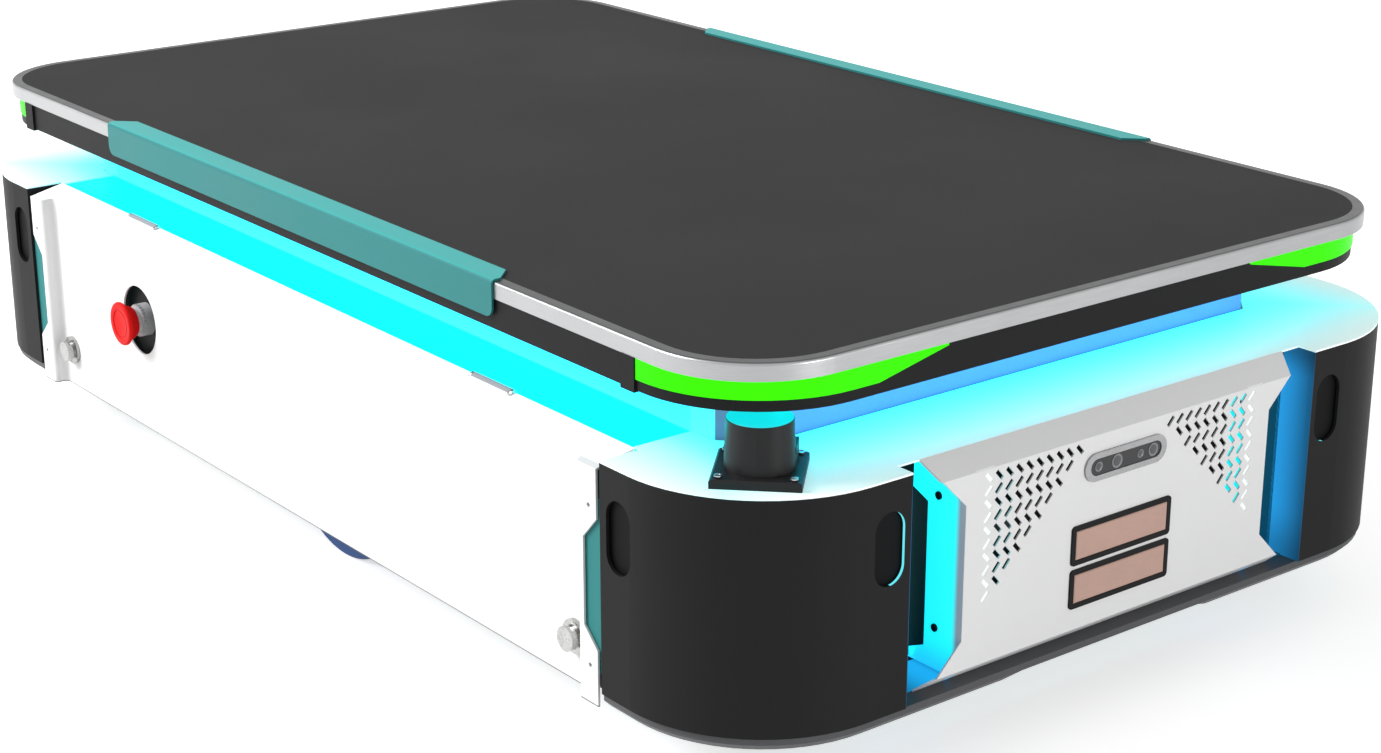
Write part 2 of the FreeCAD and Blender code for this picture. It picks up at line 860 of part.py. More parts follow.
def caster_fork():
    """The swivel fork: crown, two legs, the axle and the swivel pin."""
    half_gap = caster_width / 2 + caster_gap
    half_fork = half_gap + fork_sheet
    axle_x = caster_x - caster_trail
    crown_low = caster_radius * 2 + 4
    crown = cylinder(fork_crown_radius, crown_low, fork_top, Z, (caster_x, caster_y))
    bridge = box(axle_x - 6, caster_x, caster_y - half_fork, caster_y + half_fork,
                 crown_low, crown_low + fork_sheet)
    side = [(axle_x - 10, caster_radius), (axle_x - 16, crown_low), (caster_x + 22, crown_low),
            (caster_x + 22, crown_low - 6), (axle_x + 12, caster_radius - 4),
            (axle_x, caster_radius - 11), (axle_x - 9, caster_radius - 6)]
    leg = prism(side, "xz", caster_y + half_gap, caster_y + half_fork)
    other_leg = prism(side, "xz", caster_y - half_fork, caster_y - half_gap)
    axle = cylinder(caster_axle, caster_y - half_fork - 3, caster_y + half_fork + 3, Y,
                    (axle_x, caster_radius))
    head = cylinder(fork_crown_radius - 5, fork_top, mount_plate_bottom - swivel_gap, Z,
                    (caster_x, caster_y))
    pin = cylinder(swivel_pin, fork_top, mount_plate_top + 6, Z, (caster_x, caster_y))
    return crown.fuse([bridge, leg, other_leg, axle, head, pin]).removeSplitter()


def caster_wheel():
    axle_x = caster_x - caster_trail
    low = caster_y - caster_width / 2
    high = caster_y + caster_width / 2
    at = (axle_x, caster_radius)
    wheel = cylinder(caster_radius, low, high, Y, at)
    wheel = wheel.makeFillet(caster_tread / 2, [e for e in wheel.Edges if e.isClosed()])
    core = caster_radius - caster_tread
    groove_low = cylinder(core - 5, low - 1, low + 5, Y, at)
    groove_high = cylinder(core - 5, high - 5, high + 1, Y, at)
    boss = cylinder(11, low - 0.8, high + 0.8, Y, at)
    bore = cylinder(caster_axle + running_gap, low - 1, high + 1, Y, at)
    return wheel.cut([groove_low, groove_high]).fuse(boss).cut(bore).removeSplitter()


def caster_mount():
    """A top plate and riser that carry one caster under the rail."""
    half = mount_plate_size / 2
    plate = box(caster_x - half, caster_x + half, caster_y - half, caster_y + half,
                mount_plate_bottom, mount_plate_top)
    rail_low = max(rail_y - rail_width / 2, caster_y - half)
    riser = box(caster_x - half, caster_x + half, rail_low, rail_y + rail_width / 2,
                mount_plate_top, rail_bottom)
    pin_room = cylinder(swivel_pin + 8, mount_plate_top, rail_bottom, Z, (caster_x, caster_y))
    bore = cylinder(swivel_pin + running_gap, mount_plate_bottom, mount_plate_top, Z,
                    (caster_x, caster_y))
    return plate.fuse(riser).cut([pin_room, bore]).removeSplitter()


# Lift

def jack_body():
    """The front left jack: a guide tube, its foot on the rail, its motor and drive case."""
    at = (jack_x, jack_y)
    tube = cylinder(jack_radius, jack_bottom, jack_top, Z, at)
    foot = box(jack_x - jack_foot_width / 2, jack_x + jack_foot_width / 2, jack_y + 30,
               rail_y - rail_width / 2, rail_bottom, rail_bottom + jack_foot_height)
    motor_at = (jack_x - jack_motor_offset, jack_y)
    motor = cylinder(jack_motor_radius, jack_bottom, jack_motor_top, Z, motor_at)
    case = box(jack_x - jack_motor_offset, jack_x, jack_y - jack_motor_radius,
               jack_y + jack_motor_radius, jack_bottom, jack_bottom + jack_drive_height)
    guide = cylinder(ram_radius + running_gap, ram_bottom - 4, jack_top + 1, Z, at)
    collar_room = cylinder(screw_collar + 2, jack_bottom + jack_floor, ram_bottom, Z, at)
    bearing = cylinder(screw_radius + running_gap, jack_bottom, ram_bottom, Z, at)
    solid = tube.fuse([foot, motor, case])
    return solid.cut([guide, collar_room, bearing]).removeSplitter()


def lift_ram():
    """A ram: a tube with a nut at its foot and a flange under the deck."""
    at = (jack_x, jack_y)
    tube = cylinder(ram_radius, ram_bottom, core_bottom, Z, at)
    flange = cylinder(ram_flange_radius, core_bottom - ram_flange, core_bottom, Z, at)
    hollow = cylinder(ram_bore, ram_bottom + ram_nut_height, screw_top + 6, Z, at)
    thread = cylinder(screw_radius + running_gap, ram_bottom, ram_bottom + ram_nut_height + 1,
                      Z, at)
    return tube.fuse(flange).cut([hollow, thread]).removeSplitter()


def lift_screw():
    at = (jack_x, jack_y)
    shaft = cylinder(screw_radius, jack_bottom + 2, screw_top - 1.5, Z, at)
    tip = cone(screw_radius, screw_radius - 1.5, screw_top - 1.5, screw_top, jack_x, jack_y)
    collar_low = jack_bottom + jack_floor + 0.3
    collar = cylinder(screw_collar, collar_low, collar_low + screw_collar_height, Z, at)
    return shaft.fuse([tip, collar]).removeSplitter()


def lift_skirt():
    """The skirt under the deck: two sides, two ends and four corner plates, each one flat."""
    side = box(skirt_chamfer - skirt_half_x, skirt_half_x - skirt_chamfer,
               skirt_half_y - skirt_sheet, skirt_half_y, skirt_bottom, core_bottom)
    end = box(skirt_half_x - skirt_sheet, skirt_half_x, skirt_chamfer - skirt_half_y,
              skirt_half_y - skirt_chamfer, skirt_bottom, core_bottom)
    depth = skirt_sheet * math.sqrt(0.5)
    start_x = skirt_half_x - skirt_chamfer
    start_y = skirt_half_y - skirt_chamfer
    corner = prism([(start_x, skirt_half_y), (skirt_half_x, start_y),
                    (skirt_half_x - depth, start_y - depth),
                    (start_x - depth, skirt_half_y - depth)], "xy", skirt_bottom, core_bottom)
    corner = corner.cut([side, end])
    return group([side, mirror_y(side), end, mirror_x(end)] + four_corners(corner))


# Deck

def lens_band(start, depth, gap):
    """The band that one corner lens fills: square on the side, tapering away on the front."""
    low = deck_core_top - lens_height - gap
    proud = core_inset - lens_proud
    outer = rounded_plate(deck_length - 2 * proud, deck_width - 2 * proud, core_radius - proud,
                          low, deck_core_top)
    inset = 2 * depth
    inner = rounded_plate(deck_length - inset, deck_width - inset, core_radius - depth,
                          low, deck_core_top)
    band = outer.cut(inner)
    band = band.common(box(start - gap, half_length, lens_end_y - gap, half_width,
                           low, deck_core_top))
    taper = prism([(lens_end_y - 2, deck_core_top - 1.5 - gap), (lens_end_y - 2, low - 1),
                   (lens_end_y + lens_taper, low - 1), (lens_end_y + lens_taper, low)],
                  "yz", start, half_length)
    return band.cut(taper)


def lens_set(depth, gap):
    front = lens_band(lens_start_x, depth, gap)
    rear = mirror_x(lens_band(lens_rear_start_x, depth, gap))
    return [front, mirror_y(front), rear, mirror_y(rear)]


def end_block(start):
    """The block on the deck's side where a lens begins."""
    face = deck_width / 2 - core_inset
    return box(start - lens_gap - end_block_length, start - lens_gap,
               face - 2, face + end_block_proud, core_bottom - end_block_drop, deck_core_top)


def deck_frame():
    """The hollow deck panel, closed above and below, with its edge cut back for the lenses."""
    length = deck_length - 2 * core_inset
    width = deck_width - 2 * core_inset
    core = rounded_plate(length, width, core_radius - core_inset, core_bottom, deck_core_top)
    core = core.cut(lens_set(lens_depth + lens_gap, lens_gap))
    front = end_block(lens_start_x)
    rear = mirror_x(end_block(lens_rear_start_x))
    core = core.fuse([front, mirror_y(front), rear, mirror_y(rear)]).removeSplitter()
    area_x = length - 2 * core_border
    area_y = width - 2 * core_border
    pocket_x = (area_x - core_rib * (pocket_columns - 1)) / pocket_columns
    pocket_y = (area_y - core_rib * (pocket_rows - 1)) / pocket_rows
    pockets = []
    for column in range(pocket_columns):
        for row in range(pocket_rows):
            x = column * (pocket_x + core_rib) - area_x / 2
            y = row * (pocket_y + core_rib) - area_y / 2
            pockets.append(box(x, x + pocket_x, y, y + pocket_y,
                               core_bottom + core_skin, deck_core_top - core_skin))
    return core.cut(pockets)


def guard_outline(gap):
    """A block with the left edge guard's outline, grown by gap, through the deck's border."""
    half = guard_length / 2 + gap
    inner = guard_flange_inner - gap
    edge = deck_width / 2 + 1
    outline = [(half, edge), (-half, edge), (-half, inner + guard_corner),
               (guard_corner - half, inner), (half - guard_corner, inner),
               (half, inner + guard_corner)]
    return prism(outline, "xy", deck_top - mat_thickness - 1, deck_top + 2)


def deck_plate():
    """The aluminium top with a raised border round the mat."""
    plate = rounded_plate(deck_length, deck_width, deck_radius, deck_core_top, deck_top)
    top_rim = [e for e in plate.Edges if e.BoundBox.ZMin > deck_top - 0.01]
    plate = plate.makeFillet(2.5, top_rim)
    recess = rounded_plate(deck_length - 2 * mat_border, deck_width - 2 * mat_border,
                           deck_radius - mat_border, deck_top - mat_thickness, deck_top + 1)
    land = guard_outline(0)
    return plate.cut(recess.cut([land, mirror_y(land)]))


def deck_mat():
    """The mat, flush with the border and notched round the lands under the edge guards."""
    inset = 2 * (mat_border + mat_gap)
    mat = rounded_plate(deck_length - inset, deck_width - inset,
                        deck_radius - mat_border - mat_gap, deck_top - mat_thickness, deck_top)
    notch = guard_outline(mat_gap)
    return mat.cut([notch, mirror_y(notch)])


def corner_lenses():
    return group(lens_set(lens_depth, 0))


def edge_guard():
    """The left edge guard: a bent sheet over the deck's edge with cut corners."""
    half = guard_length / 2
    inner_y = guard_inner
    top = deck_top + guard_sheet
    flange_inner = guard_flange_inner
    drop = deck_top - guard_drop
    section = [(flange_inner, deck_top), (inner_y, deck_top), (inner_y, drop),
               (inner_y + guard_sheet, drop), (inner_y + guard_sheet, top),
               (flange_inner, top)]
    guard = prism(section, "yz", -half, half)
    fold = [e for e in edges_along(guard, X)
            if e.BoundBox.YMin > inner_y + 0.1 and e.BoundBox.ZMin > top - 0.1]
    guard = guard.makeFillet(guard_bend, fold)
    cuts = []
    for side in (1, -1):
        flat = prism([(side * half, flange_inner), (side * (half - guard_corner), flange_inner),
                      (side * half, flange_inner + guard_corner)],
                     "xy", deck_top - 1, top + 1)
        cuts.append(flat)
    low_corners = [e for e in edges_along(guard, Y) if e.BoundBox.ZMax < drop + 0.1]
    return guard.makeFillet(guard_round, low_corners).cut(cuts)


# Front and rear panels

def vent_slots():
    """Herringbone vents: two triangles of slots that lean one way and the other by row."""
    slots = []
    reach = vent_slot_length / 2
    thick = vent_slot_width / 2
    for row in range(vent_rows):
        lean = -vent_slot_angle if row % 2 == 0 else vent_slot_angle
        z = vent_top_z - row * vent_pitch
        for column in range(vent_rows - row):
            y = vent_outer_y - column * vent_pitch
            depth = vent_blind_depth if column == 0 else panel_sheet + 1
            slot = box(-depth, 1, -thick, thick, -reach, reach)
            slot.rotate(ORIGIN, X, lean)
            slot.translate(FreeCAD.Vector(half_length, y, z))
            slots += [slot, mirror_y(slot)]
    return slots


def end_panel(extra_cuts):
    """A folded panel: slanted bands above and below, waisted ends, and cheeks behind them."""
    t = panel_sheet
    face = half_length
    back = panel_band_x
    section = [(back, body_top), (face, panel_fold_top), (face, panel_fold_bottom),
               (back, panel_band_bottom), (back, panel_band_bottom + 1.3 * t),
               (face - t, panel_fold_bottom + 0.4 * t), (face - t, panel_fold_top - 0.4 * t),
               (back, body_top - 1.3 * t)]
    sheet = prism(section, "xz", -panel_top_half, panel_top_half)
    end_cut = prism([(face + 1, panel_half_width), (back, panel_top_half), (back - 1, 300),
                     (face + 1, 300)], "xy", 0, body_top + 1)
    notch = prism([(panel_half_width + 20, panel_fold_top), (panel_half_width, panel_fold_top),
                   (panel_waist, panel_notch_top), (panel_waist, panel_notch_bottom),
                   (panel_half_width, panel_fold_bottom),
                   (panel_half_width + 20, panel_fold_bottom)],
                  "yz", face - panel_band_depth, face + 1)
    sheet = sheet.cut([end_cut, mirror_y(end_cut), notch, mirror_y(notch)])
    cheek_back = end_plate_face
    step = cheek_back + cheek_step + 8
    cheek = prism([(face - t, cheek_top - 18), (face - 14, cheek_top), (cheek_back, cheek_top),
                   (cheek_back, cheek_step_high + 8), (step, cheek_step_high),
                   (step, cheek_step_low + 8), (cheek_back, cheek_step_low),
                   (cheek_back, cheek_bottom), (face - 14, cheek_bottom),
                   (face - t, cheek_bottom + 12)],
                  "xz", panel_waist - t, panel_waist)
    holes = [cylinder(cheek_hole_radius, panel_waist - t - 1, panel_waist + 1, Y,
                      (face - cheek_hole_x, z)) for z in cheek_holes_z]
    cheek = cheek.cut(holes)
    sheet = sheet.fuse([cheek, mirror_y(cheek)])
    camera_hole = obround(camera_body_width + 2 * camera_gap,
                          camera_body_height + 2 * camera_gap,
                          face - t - 1, face + 1, X, 0, camera_z)
    return sheet.cut([camera_hole] + vent_slots() + extra_cuts).removeSplitter()


def camera_housing():
    face = half_length
    bezel = obround(camera_width, camera_height, face, face + camera_proud, X, 0, camera_z)
    body = obround(camera_body_width, camera_body_height, face - camera_body_depth, face, X, 0,
                   camera_z)
    pocket = obround(camera_window_width + camera_gap, camera_window_height + camera_gap,
                     face - 1, face + camera_proud + 1, X, 0, camera_z)
    bracket = box(end_plate_face, face - camera_body_depth, -12, 12, camera_z - 3, camera_z + 3)
    return bezel.fuse([body, bracket]).cut(pocket).removeSplitter()


def camera_window():
    start = half_length - 1
    return obround(camera_window_width, camera_window_height, start,
                   start + camera_window_thickness, X, 0, camera_z)


def contact_frames():
    frames = []
    half = contact_width / 2
    tall = contact_height / 2
    inner = half - contact_border
    inner_tall = tall - contact_border
    for z in contact_centres_z:
        frame = box(half_length, half_length + contact_proud, -half, half, z - tall, z + tall)
        frame = frame.makeFillet(contact_corner, edges_along(frame, X))
        hole = box(half_length - 1, half_length + contact_proud + 1, -inner, inner,
                   z - inner_tall, z + inner_tall)
        frames.append(frame.cut(hole))
    return group(frames)


def contact_pads():
    pads = []
    half = contact_width / 2 - contact_border - contact_gap
    tall = contact_height / 2 - contact_border - contact_gap
    for z in contact_centres_z:
        pad = box(half_length, half_length + contact_pad_proud, -half, half, z - tall, z + tall)
        edges = [e for e in pad.Edges
                 if e.BoundBox.XMin > half_length + contact_pad_proud - 0.01]
        pads.append(pad.makeChamfer(0.8, edges))
    return group(pads)


# Side doors, modelled on the left side

def door_block(inset):
    """The space inside the door's outer surface, moved inwards by inset."""
    fold = door_fold + inset
    face = door_face - inset
    flange = door_flange_face - inset
    end = door_half_length + (1 if inset else 0)
    low = door_bottom - (1 if inset else 0)
    back = door_lip_inner - (1 if inset else 0)
    outline = [(-end, back), (end, back), (end, flange), (fold, flange), (fold, face),
               (-fold, face), (-fold, flange), (-end, flange)]
    block = prism(outline, "xy", low, body_top)
    block = block.makeFillet(door_bend + inset, edges_at(block, fold, face))
    block = block.makeFillet(door_edge_bend - inset, edges_at(block, fold, flange))
    lip_drop = door_lip_drop * (door_flange_face + 2 - door_lip_inner)
    top = body_top - inset
    above = prism([(back - 5, top + door_lip_drop * 5), (back - 5, body_top + 5),
                   (door_flange_face + 2, body_top + 5), (door_flange_face + 2, top - lip_drop),
                   (door_lip_inner, top)],
                  "yz", -end - 1, end + 1)
    return block.cut(above)


def side_door():
    """The left door: a folded sheet with joggled ends, rolled hinge eyes and round holes."""
    sheet = door_block(0).cut(door_block(door_sheet))
    cuts = []
    outer = door_half_length
    inner = outer - door_notch_depth
    for side in (1, -1):
        cuts.append(prism([(side * (outer + 2), door_notch_high),
                           (side * outer, door_notch_high),
                           (side * inner, door_notch_high - door_notch_ramp_high),
                           (side * inner, door_notch_low + door_notch_ramp_low),
                           (side * outer, door_notch_low), (side * (outer + 2), door_notch_low)],
                          "xz", door_flange_face - 2 * door_sheet, door_flange_face + 1))
        for z in door_holes_z:
            cuts.append(cylinder(door_hole_radius, door_flange_face - 2 * door_sheet,
                                 door_flange_face + 1, Y,
                                 (side * (door_fold + door_hole_reach), z)))
        cuts.append(cylinder(knob_shaft + running_gap, door_face - 5, door_face + 1, Y,
                             (side * knob_x, knob_z)))
        cuts.append(box(side * hinge_x - hinge_room, side * hinge_x + hinge_room,
                        door_lip_inner - 2, hinge_y + hinge_radius + 1, door_bottom,
                        body_top + 5))
    cuts.append(cylinder(estop_hole, door_face - 5, door_face + 1, Y, (estop_x, estop_z)))
    sheet = sheet.cut(cuts)
    eyes = []
    for side in (1, -1):
        low = side * hinge_x - hinge_length / 2
        high = side * hinge_x + hinge_length / 2
        eye = cylinder(hinge_radius, low, high, X, (hinge_y, hinge_z))
        tongue_end = hinge_y + hinge_radius + 5
        lip_z = body_top - door_lip_drop * (tongue_end - door_lip_inner)
        tongue = prism([(hinge_y, hinge_z + hinge_radius), (hinge_y + 3, hinge_z + 3),
                        (tongue_end, lip_z), (tongue_end, lip_z - door_sheet),
                        (hinge_y + 3, hinge_z + 0.2), (hinge_y, hinge_z + 2)], "yz", low, high)
        bore = cylinder(hinge_pin + running_gap, low - 1, high + 1, X, (hinge_y, hinge_z))
        eyes.append(eye.fuse(tongue).cut(bore))
    return sheet.fuse(eyes).removeSplitter()


def latch_knob(x):
    """A quarter-turn latch: head with two flats, neck, washer, shaft and cam."""
    at = (x, knob_z)
    face = door_face
    washer = cylinder(knob_washer_radius, face + 0.2, face + 0.2 + knob_washer, Y, at)
    neck_start = face + 0.2 + knob_washer
    neck = cylinder(knob_neck_radius, neck_start, neck_start + knob_neck, Y, at)
    head_start = neck_start + knob_neck
    head = cylinder(knob_head_radius, head_start, head_start + knob_head, Y, at)
    for side in (1, -1):
        flat = box(x - 20, x + 20, head_start - knob_neck, head_start + knob_head - 2.5,
                   knob_z + side * knob_flat, knob_z + side * (knob_flat + 10)) \
            if side > 0 else \
            box(x - 20, x + 20, head_start - knob_neck, head_start + knob_head - 2.5,
                knob_z - knob_flat - 10, knob_z - knob_flat)
        head = head.cut(flat)
    cam_face = door_face - door_sheet - 0.6 - keeper_thickness - 0.5
    shaft = cylinder(knob_shaft, cam_face - cam_thickness, face + 1, Y, at)
    towards_middle = -1 if x > 0 else 1
    tip = x + towards_middle * cam_length
    cam = box(min(x, tip), max(x, tip), cam_face - cam_thickness, cam_face,
              knob_z - cam_width / 2, knob_z + cam_width / 2)
    return washer.fuse([neck, head, shaft, cam]).removeSplitter()


def accent_plate():
    """The coloured plate behind the notch in a door's flange."""
    face = door_flange_face - door_sheet - accent_setback
    return box(accent_inner, side_half, face - accent_sheet, face, accent_bottom, accent_top)


# Emergency stops, modelled on the left side

def estop_cap():
    """A mushroom cap: a rounded rim, a waist behind it, a dished face and a ring groove."""
    at = (estop_x, estop_z)
    rim_back = estop_cap_face - estop_cap_rim
    rim = cylinder(estop_cap_radius, rim_back, estop_cap_face, Y, at)
    rim = rim.makeFillet(estop_cap_rim * 0.45, rim.Edges)
    waist = Part.makeCone(estop_cap_waist, estop_cap_radius - 1.5, rim_back - estop_cap_back + 1,
                          FreeCAD.Vector(estop_x, estop_cap_back, estop_z), Y)
    curve = (estop_face_reach ** 2 + estop_face_depth ** 2) / (2 * estop_face_depth)
    dish = Part.makeSphere(curve, FreeCAD.Vector(
        estop_x, estop_cap_face - estop_face_depth + curve, estop_z))
    groove = cylinder(estop_ring, estop_cap_face - estop_ring_depth, estop_cap_face + 1, Y, at)
    groove = groove.cut(cylinder(estop_ring - estop_ring_width, estop_cap_face - 3,
                                 estop_cap_face + 1, Y, at))
    hollow = cylinder(estop_cap_hollow, estop_cap_back - 1,
                      estop_cap_back + estop_cap_hollow_depth, Y, at)
    stem = cylinder(estop_stem_radius, estop_seat + 4, estop_cap_face - 5, Y, at)
    return rim.fuse(waist).cut([hollow, dish, groove]).fuse(stem).removeSplitter()


def estop_collar():
    """The fixed collar under the cap: a toothed ring in front of a stepped neck."""
    at = (estop_x, estop_z)
    top = estop_cap_back + estop_cap_hollow_depth - estop_travel - 0.5
    base_top = estop_cap_back - estop_travel - 0.8
    collar = cylinder(estop_collar_radius, estop_seat, top, Y, at)
    collar = collar.fuse(cylinder(estop_collar_base, estop_seat, base_top, Y, at))
    cuts = []
    for index in range(collar_teeth):
        angle = 2 * math.pi * index / collar_teeth
        tooth_at = (estop_x + estop_collar_base * math.cos(angle),
                    estop_z + estop_collar_base * math.sin(angle))
        cuts.append(cylinder(collar_tooth, base_top - collar_tooth_length, base_top + 1, Y,
                             tooth_at))
    bore = cylinder(estop_stem_radius + running_gap, estop_seat, top + 1, Y, at)
    return collar.cut(cuts + [bore])


def estop_housing():
    """The black dish behind the door's hole and the contact block, on a strap to the sill."""
    at = (estop_x, estop_z)
    dish = cylinder(estop_dish_radius, estop_seat - estop_dish, estop_seat, Y, at)
    half = estop_box_size / 2
    block = box(estop_x - half, estop_x + half, estop_seat - estop_box_depth,
                estop_seat - estop_dish, estop_z - half, estop_z + half)
    strap = box(estop_x - 14, estop_x + 14, estop_seat - estop_dish - 6,
                estop_seat - estop_dish, sill_bottom + sill_height, estop_z)
    stem_room = cylinder(estop_stem_radius + 1, estop_seat - 12, estop_seat + 1, Y, at)
    return dish.fuse([block, strap]).cut(stem_room).removeSplitter()


# Corner scanner, modelled at the front right

def scanner():
    """A laser scanner: a square base set diagonally and a slightly tapered round head."""
    half = scanner_base_size / 2
    low = body_top
    high = low + scanner_base_height
    base = box(-half, half, -half, half, low, high)
    top_edges = [e for e in base.Edges if e.BoundBox.ZMin > high - 0.01]
    base = base.makeChamfer(1.5, top_edges)
    screws = []
    reach = scanner_screw_pitch / 2
    for x in (reach, -reach):
        for y in (reach, -reach):
            screws.append(cylinder(scanner_screw_radius, high, high + scanner_screw_head, Z,
                                   (x, y)))
    head = cone(scanner_foot_radius, scanner_top_radius, high, low + scanner_height, 0, 0)
    cap_edge = [e for e in head.Edges if e.BoundBox.ZMin > low + scanner_height - 0.01]
    head = head.makeChamfer(scanner_cap_chamfer, cap_edge)
    heel = box(-scanner_foot_radius, 0, -scanner_foot_radius, scanner_foot_radius, high,
               high + 14)
    unit = base.fuse(screws + [head, heel]).removeSplitter()
    unit.rotate(ORIGIN, Z, -45)
    unit.translate(FreeCAD.Vector(scanner_x, -scanner_y, 0))
    return unit


def light_strips():
    """Two top strips and four upright bars beside the front and rear panels."""
    strip = box(-strip_half, strip_half, strip_inner, strip_outer, strip_bottom, strip_top)
    strip = strip.cut(eye_rooms(strip_bottom - 1, strip_top + 1))
    middle = (panel_waist + end_plate_half) / 2
    bar = box(end_plate_face, end_plate_face + light_bar_depth, middle - light_bar_width / 2,
              middle + light_bar_width / 2, cheek_bottom + 4, body_top - light_bar_drop)
    return group([strip, mirror_y(strip)] + four_corners(bar))


def build():
    shell = corner_shell()
    door = side_door()
    cover = top_cover()
    sill = side_sill()
    channel = light_channel()
    hanger = pan_hanger()
    bracket = drive_bracket()
    motor = gearmotor()
    hub = drive_hub()
    tyre = drive_tyre()
    collar = estop_collar()
    housing = estop_housing()
    cap = estop_cap()
    guard = edge_guard()
    camera = camera_housing()
    window = camera_window()
    parts = {
        "corner_shells": group(four_corners(shell)),
        "base_rim": base_rim(),
        "top_covers": group([cover, mirror_x(cover)]),
        "frame_rails": frame_rails(),
        "cross_beams": cross_beams(),
        "side_sills": group([sill, mirror_y(sill)]),
        "light_channels": group([channel, mirror_y(channel)]),
        "outriggers": outriggers(),
        "end_plates": end_plates(),
        "belly_pan": belly_pan(),
        "pan_hangers": group([hanger, mirror_x(hanger)]),
        "battery_pack": battery_pack(),
        "controller_box": controller_box(),
        "gearmotors": group([motor, mirror_y(motor)]),
        "drive_brackets": group([bracket, mirror_y(bracket)]),
        "caster_mounts": group(four_corners(caster_mount())),
        "jack_bodies": group(four_corners(jack_body())),
        "light_strips": light_strips(),
        "front_panel": end_panel([]),
        "rear_panel": mirror_x(end_panel([])),
        "camera_housings": group([camera, mirror_x(camera)]),
        "camera_windows": group([window, mirror_x(window)]),
        "contact_frames": contact_frames(),
        "contact_pads": contact_pads(),
        "accent_plates": group(four_corners(accent_plate())),
        "scanners": group([scanner(), turn_round(scanner())]),
        "estop_housings": group([housing, turn_round(housing)]),
        "estop_collars": group([collar, turn_round(collar)]),
        "deck_frame": deck_frame(),
        "deck_plate": deck_plate(),
        "deck_mat": deck_mat(),
        "corner_lenses": corner_lenses(),
        "edge_guards": group([guard, mirror_y(guard)]),
        "lift_skirt": lift_skirt(),
        "lift_rams": group(four_corners(lift_ram())),
        "drive_hub_left": hub,
        "drive_tyre_left": tyre,
        "drive_hub_right": mirror_y(hub),
        "drive_tyre_right": mirror_y(tyre),
        "side_door_left": door,
        "side_door_right": turn_round(door),
        "estop_button_left": cap,
        "estop_button_right": turn_round(cap),
        "knob_left_front": latch_knob(knob_x),
        "knob_left_rear": latch_knob(-knob_x),
        "knob_right_rear": turn_round(latch_knob(knob_x)),
        "knob_right_front": turn_round(latch_knob(-knob_x)),
    }
    corner_names = ["front_left", "rear_left", "front_right", "rear_right"]
    for name, shape in zip(corner_names, four_corners(caster_fork())):
        parts["caster_fork_" + name] = shape
    for name, shape in zip(corner_names, four_corners(caster_wheel())):
        parts["caster_wheel_" + name] = shape
    for name, shape in zip(corner_names, four_corners(lift_screw())):
        parts["lift_screw_" + name] = shape
    return parts


os.makedirs("parts", exist_ok=True)
for node, shape in build().items():
    shape.exportStep("parts/" + node + ".step")
    print(node, len(shape.Solids), round(shape.Volume / 1000.0, 1), "cm3", shape.isValid())
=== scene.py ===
import bpy
import bmesh
import json
import math
from mathutils import Matrix, Vector


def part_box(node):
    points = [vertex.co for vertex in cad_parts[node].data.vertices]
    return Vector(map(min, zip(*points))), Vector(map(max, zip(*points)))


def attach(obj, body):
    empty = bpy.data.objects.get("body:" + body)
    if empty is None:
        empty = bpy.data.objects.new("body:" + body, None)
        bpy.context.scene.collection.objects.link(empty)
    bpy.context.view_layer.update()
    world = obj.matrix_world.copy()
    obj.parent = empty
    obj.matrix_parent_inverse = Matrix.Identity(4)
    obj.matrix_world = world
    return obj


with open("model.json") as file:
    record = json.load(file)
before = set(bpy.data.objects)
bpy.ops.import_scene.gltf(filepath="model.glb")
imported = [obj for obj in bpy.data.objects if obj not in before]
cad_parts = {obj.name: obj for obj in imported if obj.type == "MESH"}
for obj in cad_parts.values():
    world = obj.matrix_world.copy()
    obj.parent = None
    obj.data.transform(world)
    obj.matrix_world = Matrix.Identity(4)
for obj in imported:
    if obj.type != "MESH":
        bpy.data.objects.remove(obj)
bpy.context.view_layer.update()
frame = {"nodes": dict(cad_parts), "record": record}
nodes = frame["nodes"]
scene = bpy.context.scene
print("frame loaded")


# camera

shot = {
    "position": (1.9669, -1.4565, 0.9537),
    "looks": (-0.7441, 0.5826, -0.3269),
    "lens": 66.96,
    "sensor": 36.0,
}
cameraData = bpy.data.cameras.new("mainCamera")
cameraData.lens = shot["lens"]
cameraData.sensor_width = shot["sensor"]
cameraData.clip_start = 0.05
cameraData.clip_end = 60.0
camera = bpy.data.objects.new("mainCamera", cameraData)
camera.location = shot["position"]
camera.rotation_euler = Vector(shot["looks"]).to_track_quat("-Z", "Y").to_euler()
scene.collection.objects.link(camera)
scene.camera = camera
scene.view_settings.view_transform = "Standard"
print("camera placed")


# shading helpers

def addNode(tree, kind, **values):
    node = tree.nodes.new(kind)
    for name, value in values.items():
        setattr(node, name, value)
    return node


def noise(tree, vector, scale, detail=4.0, rough=0.55):
    node = addNode(tree, "ShaderNodeTexNoise")
    node.inputs["Scale"].default_value = scale
    node.inputs["Detail"].default_value = detail
    node.inputs["Roughness"].default_value = rough
    tree.links.new(vector, node.inputs["Vector"])
    return node.outputs["Fac"]


def remap(tree, value, low, high, start=0.0, end=1.0):
    node = addNode(tree, "ShaderNodeMapRange", interpolation_type="SMOOTHSTEP")
    tree.links.new(value, node.inputs["Value"])
    node.inputs["From Min"].default_value = low
    node.inputs["From Max"].default_value = high
    node.inputs["To Min"].default_value = start
    node.inputs["To Max"].default_value = end
    return node.outputs["Result"]


def compute(tree, operation, first, second=None):
    node = addNode(tree, "ShaderNodeMath", operation=operation)
    for socket, value in zip(node.inputs, (first, second)):
        if value is None:
            continue
        if isinstance(value, (int, float)):
            socket.default_value = value
        else:
            tree.links.new(value, socket)
    return node.outputs["Value"]


